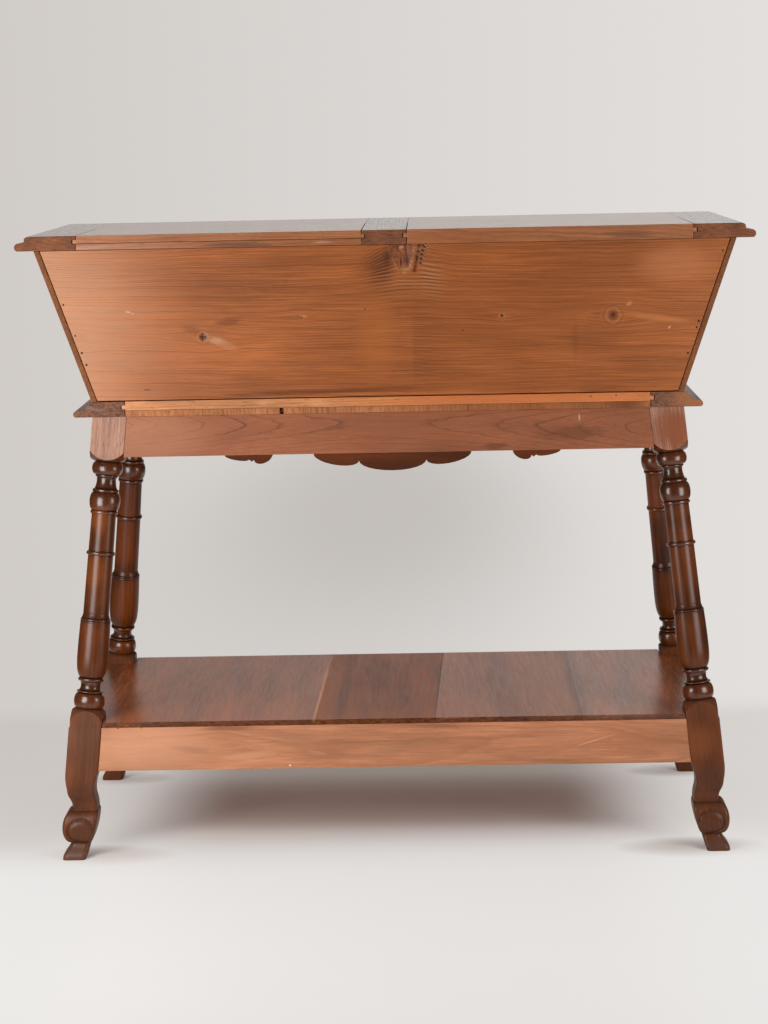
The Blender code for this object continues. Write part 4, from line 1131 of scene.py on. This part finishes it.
# Foot blocks and rails of the same walnut, satin where hands and brooms rub
FOOT_WALNUT = LEG_WALNUT._replace(early="#66361A", late="#44200F", fibre=0.0024, figure=0.4, streak=0.17,
                                  cloud=0.26, pores=0.2, gloss=0.4, shine=0.27, coat=0.03)
foot_walnut = wood("Satin dark walnut", FOOT_WALNUT, FOOT_MARKS)
# Upper blocks of the back legs: never polished and open-grained; their grey pink is partly a painted sheen
# of the left lamp
block_walnut = wood("Bare walnut blocks with painted sheen", FOOT_WALNUT, BLOCK_MARKS, early="#A67C67", late="#7C533F",
                    pore="#503326", worn="#BE9078", streak=0.24, cloud=0.16, pores=0.6, gloss=0.55,
                    shine=0.3, coat=0.0)
# Shelf: flat walnut boards, half gloss, with streaks and grey wear
SHELF_WALNUT = Finish(early="#A55C33", late="#6A381F", pore="#44261A", end="#2C1B13", worn="#5E3E2C",
                      ring=0.01, line=0.02, wander=0.022, fibre=0.0034, figure=0.3, streak=0.11, cloud=0.24,
                      pores=0.25, fleck=(0.01, 0.002), flecks=0.6, gloss=0.26, shine=0.17, relief=0.00005)
shelf_walnut = wood("Half-gloss walnut shelf", SHELF_WALNUT, SHELF_MARKS)
# Second shelf board from the left, its polish worn dull, and the last one, which kept more of it
dull_shelf = wood("Dull walnut shelf board", SHELF_WALNUT, SHELF_MARKS, gloss=0.32, shine=0.08)
bright_shelf = wood("Bright walnut shelf board", SHELF_WALNUT, SHELF_MARKS, shine=0.34)
# Upper back rail: plain-sawn, hardly polished, thin dark lines in broad arches
BACK_RAIL = Finish(early="#95593B", late="#46271A", pore="#54301A", end="#6B4026", worn="#B98159",
                   ring=0.0055, line=0.82, wander=0.006, fibre=0.002, figure=0.72, streak=0.12, cloud=0.18,
                   pores=0.22, fleck=(0.01, 0.002), flecks=0.3, gloss=0.45, shine=0.35, relief=0.00014)
back_rail_wood = wood("Plain-sawn back rail", BACK_RAIL, BACK_RAIL_MARKS)
# Lower back rail: salmon softwood without polish, soft wavy figure
LOW_RAIL = Finish(early="#BA7D5A", late="#8E5538", pore="#7E4B2C", end="#8F5C3C", worn="#CF9A78",
                  ring=0.0046, line=0.05, wander=0.034, fibre=0.0018, figure=0.5, streak=0.18, cloud=0.2,
                  pores=0.25, fleck=(0.01, 0.002), flecks=0.3, gloss=0.5, shine=0.3, relief=0.00012)
low_rail_wood = wood("Salmon softwood rail", LOW_RAIL, LOW_RAIL_MARKS)
iron = rusted_iron()


# Spans that each board's place in its log is drawn from, and the way up the bin's sloping front
BOARD_LOG = ((-0.05, 0.05), (0.03, 0.09), (-0.03, 0.03), (-0.05, 0.05))
SHELF_LOG = ((-0.06, 0.06), (0.02, 0.06), (-0.06, 0.06), (-0.05, 0.05))
UP_FRONT = Vector((0.0, math.sin(BIN_SLOPE), math.cos(BIN_SLOPE)))
# Logs lie this far apart, so that no two boards share their figure
LOG_STEP = 5.0


def dress_boards():
    """Eases every flat board; each lies in its own place in a log."""
    draw = random.Random(20)
    rows = (
        (lid_walnut, X, Y, "lid_board_left_rear lid_board_left_front lid_board_right_rear "
                           "lid_board_right_front lid_rear_strip"),
        (frame_walnut, Y, X, "lid_end_left lid_end_right lid_centre_rail lid_cleat_left lid_cleat_right"),
        (top_rail_walnut, Y, X, "top_end_left top_end_right"),
        (top_rail_walnut, X, Y, "top_front_rail"),
        (top_walnut, X, Y, "top_board_rear top_board_middle"),
        (cross_walnut, Y, X, "top_cross_board_left top_cross_board_middle top_cross_board_right"),
        (pine, X, Y, "bin_floor_rear bin_floor_front"),
        (pine, X, UP_FRONT, "bin_front"),
        (lip_pine, Y, Z, "bin_end_left bin_end_right"),
        (foot_walnut, Y, Z, "side_rail_left side_rail_right shelf_rail_left shelf_rail_right"),
        (apron_walnut, X, Z, "front_apron"),
        (foot_walnut, X, Z, "shelf_rail_front"),
        (shelf_walnut, Y, X, "shelf_board_1"),
        (dull_shelf, Y, X, "shelf_board_2"),
        (shelf_walnut, Y, X, "shelf_board_3"),
        (bright_shelf, Y, X, "shelf_board_4"),
    )
    start = 3.0
    for material, along, across, nodes in rows:
        for node in nodes.split():
            spans = SHELF_LOG if node.startswith("shelf_board") else BOARD_LOG
            log = Log(*(draw.uniform(*span) for span in spans), 0.0)
            eased_board(node, along, across, log, start, material)
            start += LOG_STEP
    eased_board("back_rail", X, Z, Log(-0.0088, 0.034, 0.0236, 0.0, 0.20), start, back_rail_wood, slices=40)
    eased_board("shelf_rail_back", X, Z, Log(0.010, 0.045, 0.01, 0.02, 0.0), start + LOG_STEP, low_rail_wood)


def dress_legs():
    """Legs with a finish to each zone; the back pair's upper blocks are unpolished, the front pair's satin.
    """
    for node, sx, sy, start in (("leg_back_left", -1, -1, 200.0), ("leg_back_right", 1, -1, 210.0),
                                ("leg_front_left", -1, 1, 220.0), ("leg_front_right", 1, 1, 230.0)):
        mesh, axis, zones = leg_mesh(node + "_turned", sx, sy)
        across = (X - axis * X.dot(axis)).normalized()
        lay_grain(mesh, axis, across, Log(0.045, 0.05, 0.0, 0.02, 0.0), start)
        finished(node + "_turned", mesh, node, block_walnut if sy < 0 else foot_walnut)
        for material in (leg_walnut, foot_walnut, rubbed_walnut):
            mesh.materials.append(material)
        mesh.polygons.foreach_set("material_index", zones)


# Heights of the nails at the left and right ends of the back board
NAIL_HEIGHTS = {-1: (0.9129, 0.8621, 0.8340, 0.8143), 1: (0.8670, 0.8570, 0.8154, 0.9800)}


def drive_nails():
    """Nails that fix the back board to the ends, in from its sloping edges."""
    spots = []
    for side, levels in NAIL_HEIGHTS.items():
        for z in levels:
            spots.append((Vector((side * (bin_half(z) - NAIL_INSET), BACK_Y, z)), -Y))
    nail_heads("bin_nails", "bin", spots, NAIL_RADIUS, iron)


def studio():
    """Camera at the photograph's place, pale floor, two soft boxes and a soft fill."""
    scene = bpy.context.scene
    scene.view_settings.view_transform = "Standard"
    yaw, pitch, roll = (math.radians(a) for a in (CAMERA_YAW, CAMERA_PITCH, CAMERA_ROLL))
    ahead = Vector((math.sin(yaw) * math.cos(pitch), math.cos(yaw) * math.cos(pitch), -math.sin(pitch)))
    right = Vector((math.cos(yaw), -math.sin(yaw), 0.0))
    up = right.cross(ahead)
    turned_right = math.cos(roll) * right + math.sin(roll) * up
    turned_up = math.cos(roll) * up - math.sin(roll) * right
    data = bpy.data.cameras.new("Camera")
    data.lens = CAMERA_LENS
    data.sensor_width = CAMERA_SENSOR
    camera = linked("Camera", data)
    turn = Matrix((turned_right, turned_up, -ahead)).transposed()
    camera.matrix_world = Matrix.Translation(CAMERA_PLACE) @ turn.to_4x4()
    scene.camera = camera
    # Both boxes end below the level of the lid, so that its waxed top never mirrors them
    soft_box("Left soft box", (-1.00, -1.10, 0.66), (-0.2, 0.0, 0.66), 13.8)
    soft_box("Right soft box", (1.25, -1.05, 0.66), (0.2, 0.0, 0.66), 9.2)
    studio_air()
    pale_floor()


# Width and height of the soft boxes
SOFT_BOX_SIZE = (0.6, 0.72)


def soft_box(name, place, aim, watts):
    """Soft rectangular light, aimed at a point and unseen by the camera."""
    data = bpy.data.lights.new(name, "AREA")
    data.shape = "RECTANGLE"
    data.size, data.size_y = SOFT_BOX_SIZE
    data.energy = watts
    lamp = linked(name, data)
    lamp.location = place
    lamp.rotation_euler = (Vector(aim) - Vector(place)).to_track_quat("-Z", "Y").to_euler()
    lamp.visible_camera = False


# Backdrop cloth: a little darker to the left than to the right, over these slopes to the side
BACKDROP_LEFT = "#D1CCC8"
BACKDROP_RIGHT = "#E3DFDC"
BACKDROP_SPAN = (-0.17, 0.13)


def backdrop_colour(put, place, camera):
    """Colour of the backdrop cloth in the direction of a place, as seen from the camera's spot."""
    parts = put("SeparateXYZ", put("VectorMath:SUBTRACT", place, camera)).outputs
    ahead = put("Math:MAXIMUM", put("Math:ABSOLUTE", parts["Y"]), 0.01)
    share = put("MapRange", put("Math:DIVIDE", parts["X"], ahead), *BACKDROP_SPAN)
    return put("Mix", share, A=linear(BACKDROP_LEFT), B=linear(BACKDROP_RIGHT), **RGBA)


def studio_air():
    """Pale backdrop for eye and gloss; more of the fill comes from there than from the dim room in front."""
    world = bpy.data.worlds.new("Studio air")
    bpy.context.scene.world = world
    put = fresh_nodes(world)
    path = put("LightPath").outputs
    seen = put("Math:ADD", path["Is Camera Ray"], path["Is Glossy Ray"], use_clamp=True)
    seen = put("Math:ADD", seen, path["Is Transmission Ray"], use_clamp=True)
    way = put("TexCoord").outputs["Generated"]
    parts = put("SeparateXYZ", way).outputs
    # The fill is stronger from the backdrop's side and from above
    spread = put("MapRange", parts["Y"], -0.3, 0.5, 0.12, 0.42)
    above = put("MapRange", parts["Z"], 0.2, 0.9, 0.0, 0.30)
    fill = put("Background", linear("#F4F1EE"), put("Math:ADD", spread, above))
    # In the polish, only what lies straight behind is bright
    behind = put("MapRange", parts["Y"], 0.82, 0.97, 0.05, 1.0)
    eye = put("Math:MAXIMUM", behind, path["Is Camera Ray"])
    shown = put("Background", backdrop_colour(put, way, (0.0, 0.0, 0.0)), eye)
    put("OutputWorld", Surface=put("MixShader", seen, fill, shown))


# Middles of the feet on the floor, from the middle of the stand: to the side, then back and front
FEET_X = 0.48
FEET_Y = (-0.262, 0.225)
FLOOR_HALF = 30


def pale_floor():
    """Floor of pale cloth: it takes the shadow near the stand and runs into the backdrop further out."""
    mesh = bpy.data.meshes.new("Floor")
    corners = [(x * FLOOR_HALF, y * FLOOR_HALF, 0) for x, y in ((-1, -1), (1, -1), (1, 1), (-1, 1))]
    mesh.from_pydata(corners, [], [(0, 1, 2, 3)])
    floor = linked("Floor", mesh)
    material = bpy.data.materials.new("Pale floor cloth")
    put = fresh_nodes(material)
    place = put("TexCoord").outputs["Object"]
    parts = put("SeparateXYZ", place).outputs
    path = put("LightPath").outputs
    mottle = put("TexNoise", place, Scale=1 / 0.15, Detail=3.0)
    cloth = put("BsdfDiffuse", put("Mix", mottle, A=linear("#F0E9E3"), B=linear("#F6F0EB"), **RGBA))
    # The cloth rises behind the table; the bin's own soft shade lies on it there
    local = put("Mapping", place, Location=(-0.12, 3.4, 0.0), Scale=(0.55, 2.2, 1.0), vector_type="TEXTURE")
    shade = put("MapRange", put("VectorMath:LENGTH", local), 0.2, 1.5, **SOFT)
    rise = put("Mix", shade, A=linear("#C4BFBB"), B=backdrop_colour(put, place, CAMERA_PLACE), **RGBA)
    # In the polish, the cloth ends at the sides and in front, where the room is dim
    side = put("Math:ABSOLUTE", parts["X"])
    room = put("Math:MAXIMUM", put("MapRange", side, 0.9, 1.6), put("MapRange", parts["Y"], -1.4, -2.2))
    dim = put("Math:MULTIPLY", room, path["Is Glossy Ray"])
    strength = put("MapRange", dim, To_Min=1.0, To_Max=0.08)
    # In front of the stand it is brighter, up to a few metres out
    far = put("VectorMath:LENGTH", place)
    near = put("Math:MULTIPLY", put("MapRange", parts["Y"], -0.12, -0.40, **SOFT),
               put("MapRange", far, 1.4, 5.0, 1.0, 0.0, **SOFT))
    glow = put("Emission", put("Mix", near, A=rise, B=linear("#EAE8E6"), **RGBA), strength)
    # Under the shelf and round the feet the cloth keeps its shadow, elsewhere it is lit as evenly as a studio
    keep = put("Math:MULTIPLY", put("MapRange", side, 0.28, 0.56, 1.0, 0.25, **SOFT),
               put("MapRange", parts["Y"], -0.28, -0.08, 0.25, 1.0, **SOFT))
    folded = put("CombineXYZ", side, parts["Y"], 0.0)
    for foot_y in FEET_Y:
        spot_place = put("Mapping", folded, Location=(FEET_X, foot_y, 0.0), Scale=(0.13, 0.06, 1.0),
                         vector_type="TEXTURE")
        by_foot = put("MapRange", put("VectorMath:LENGTH", spot_place), 0.1, 1.4, 0.85, 0.0, **SOFT)
        keep = put("Math:MAXIMUM", keep, by_foot)
    share = put("Math:SUBTRACT", 1.0, keep)
    out = put("MapRange", far, 1.0, 2.4, **SOFT)
    behind = put("MapRange", parts["Y"], 0.25, 0.85, **SOFT)
    for part in (out, behind, dim):
        share = put("Math:MAXIMUM", share, part)
    seen = put("Math:ADD", path["Is Camera Ray"], path["Is Glossy Ray"], use_clamp=True)
    both = put("MixShader", put("Math:MULTIPLY", share, seen), cloth, glow)
    put("OutputMaterial", Surface=both)
    mesh.materials.append(material)


dress_boards()
dress_legs()
finished("bin_back_timber", bin_back_mesh(), "bin_back", pine_back)
drive_nails()
studio()
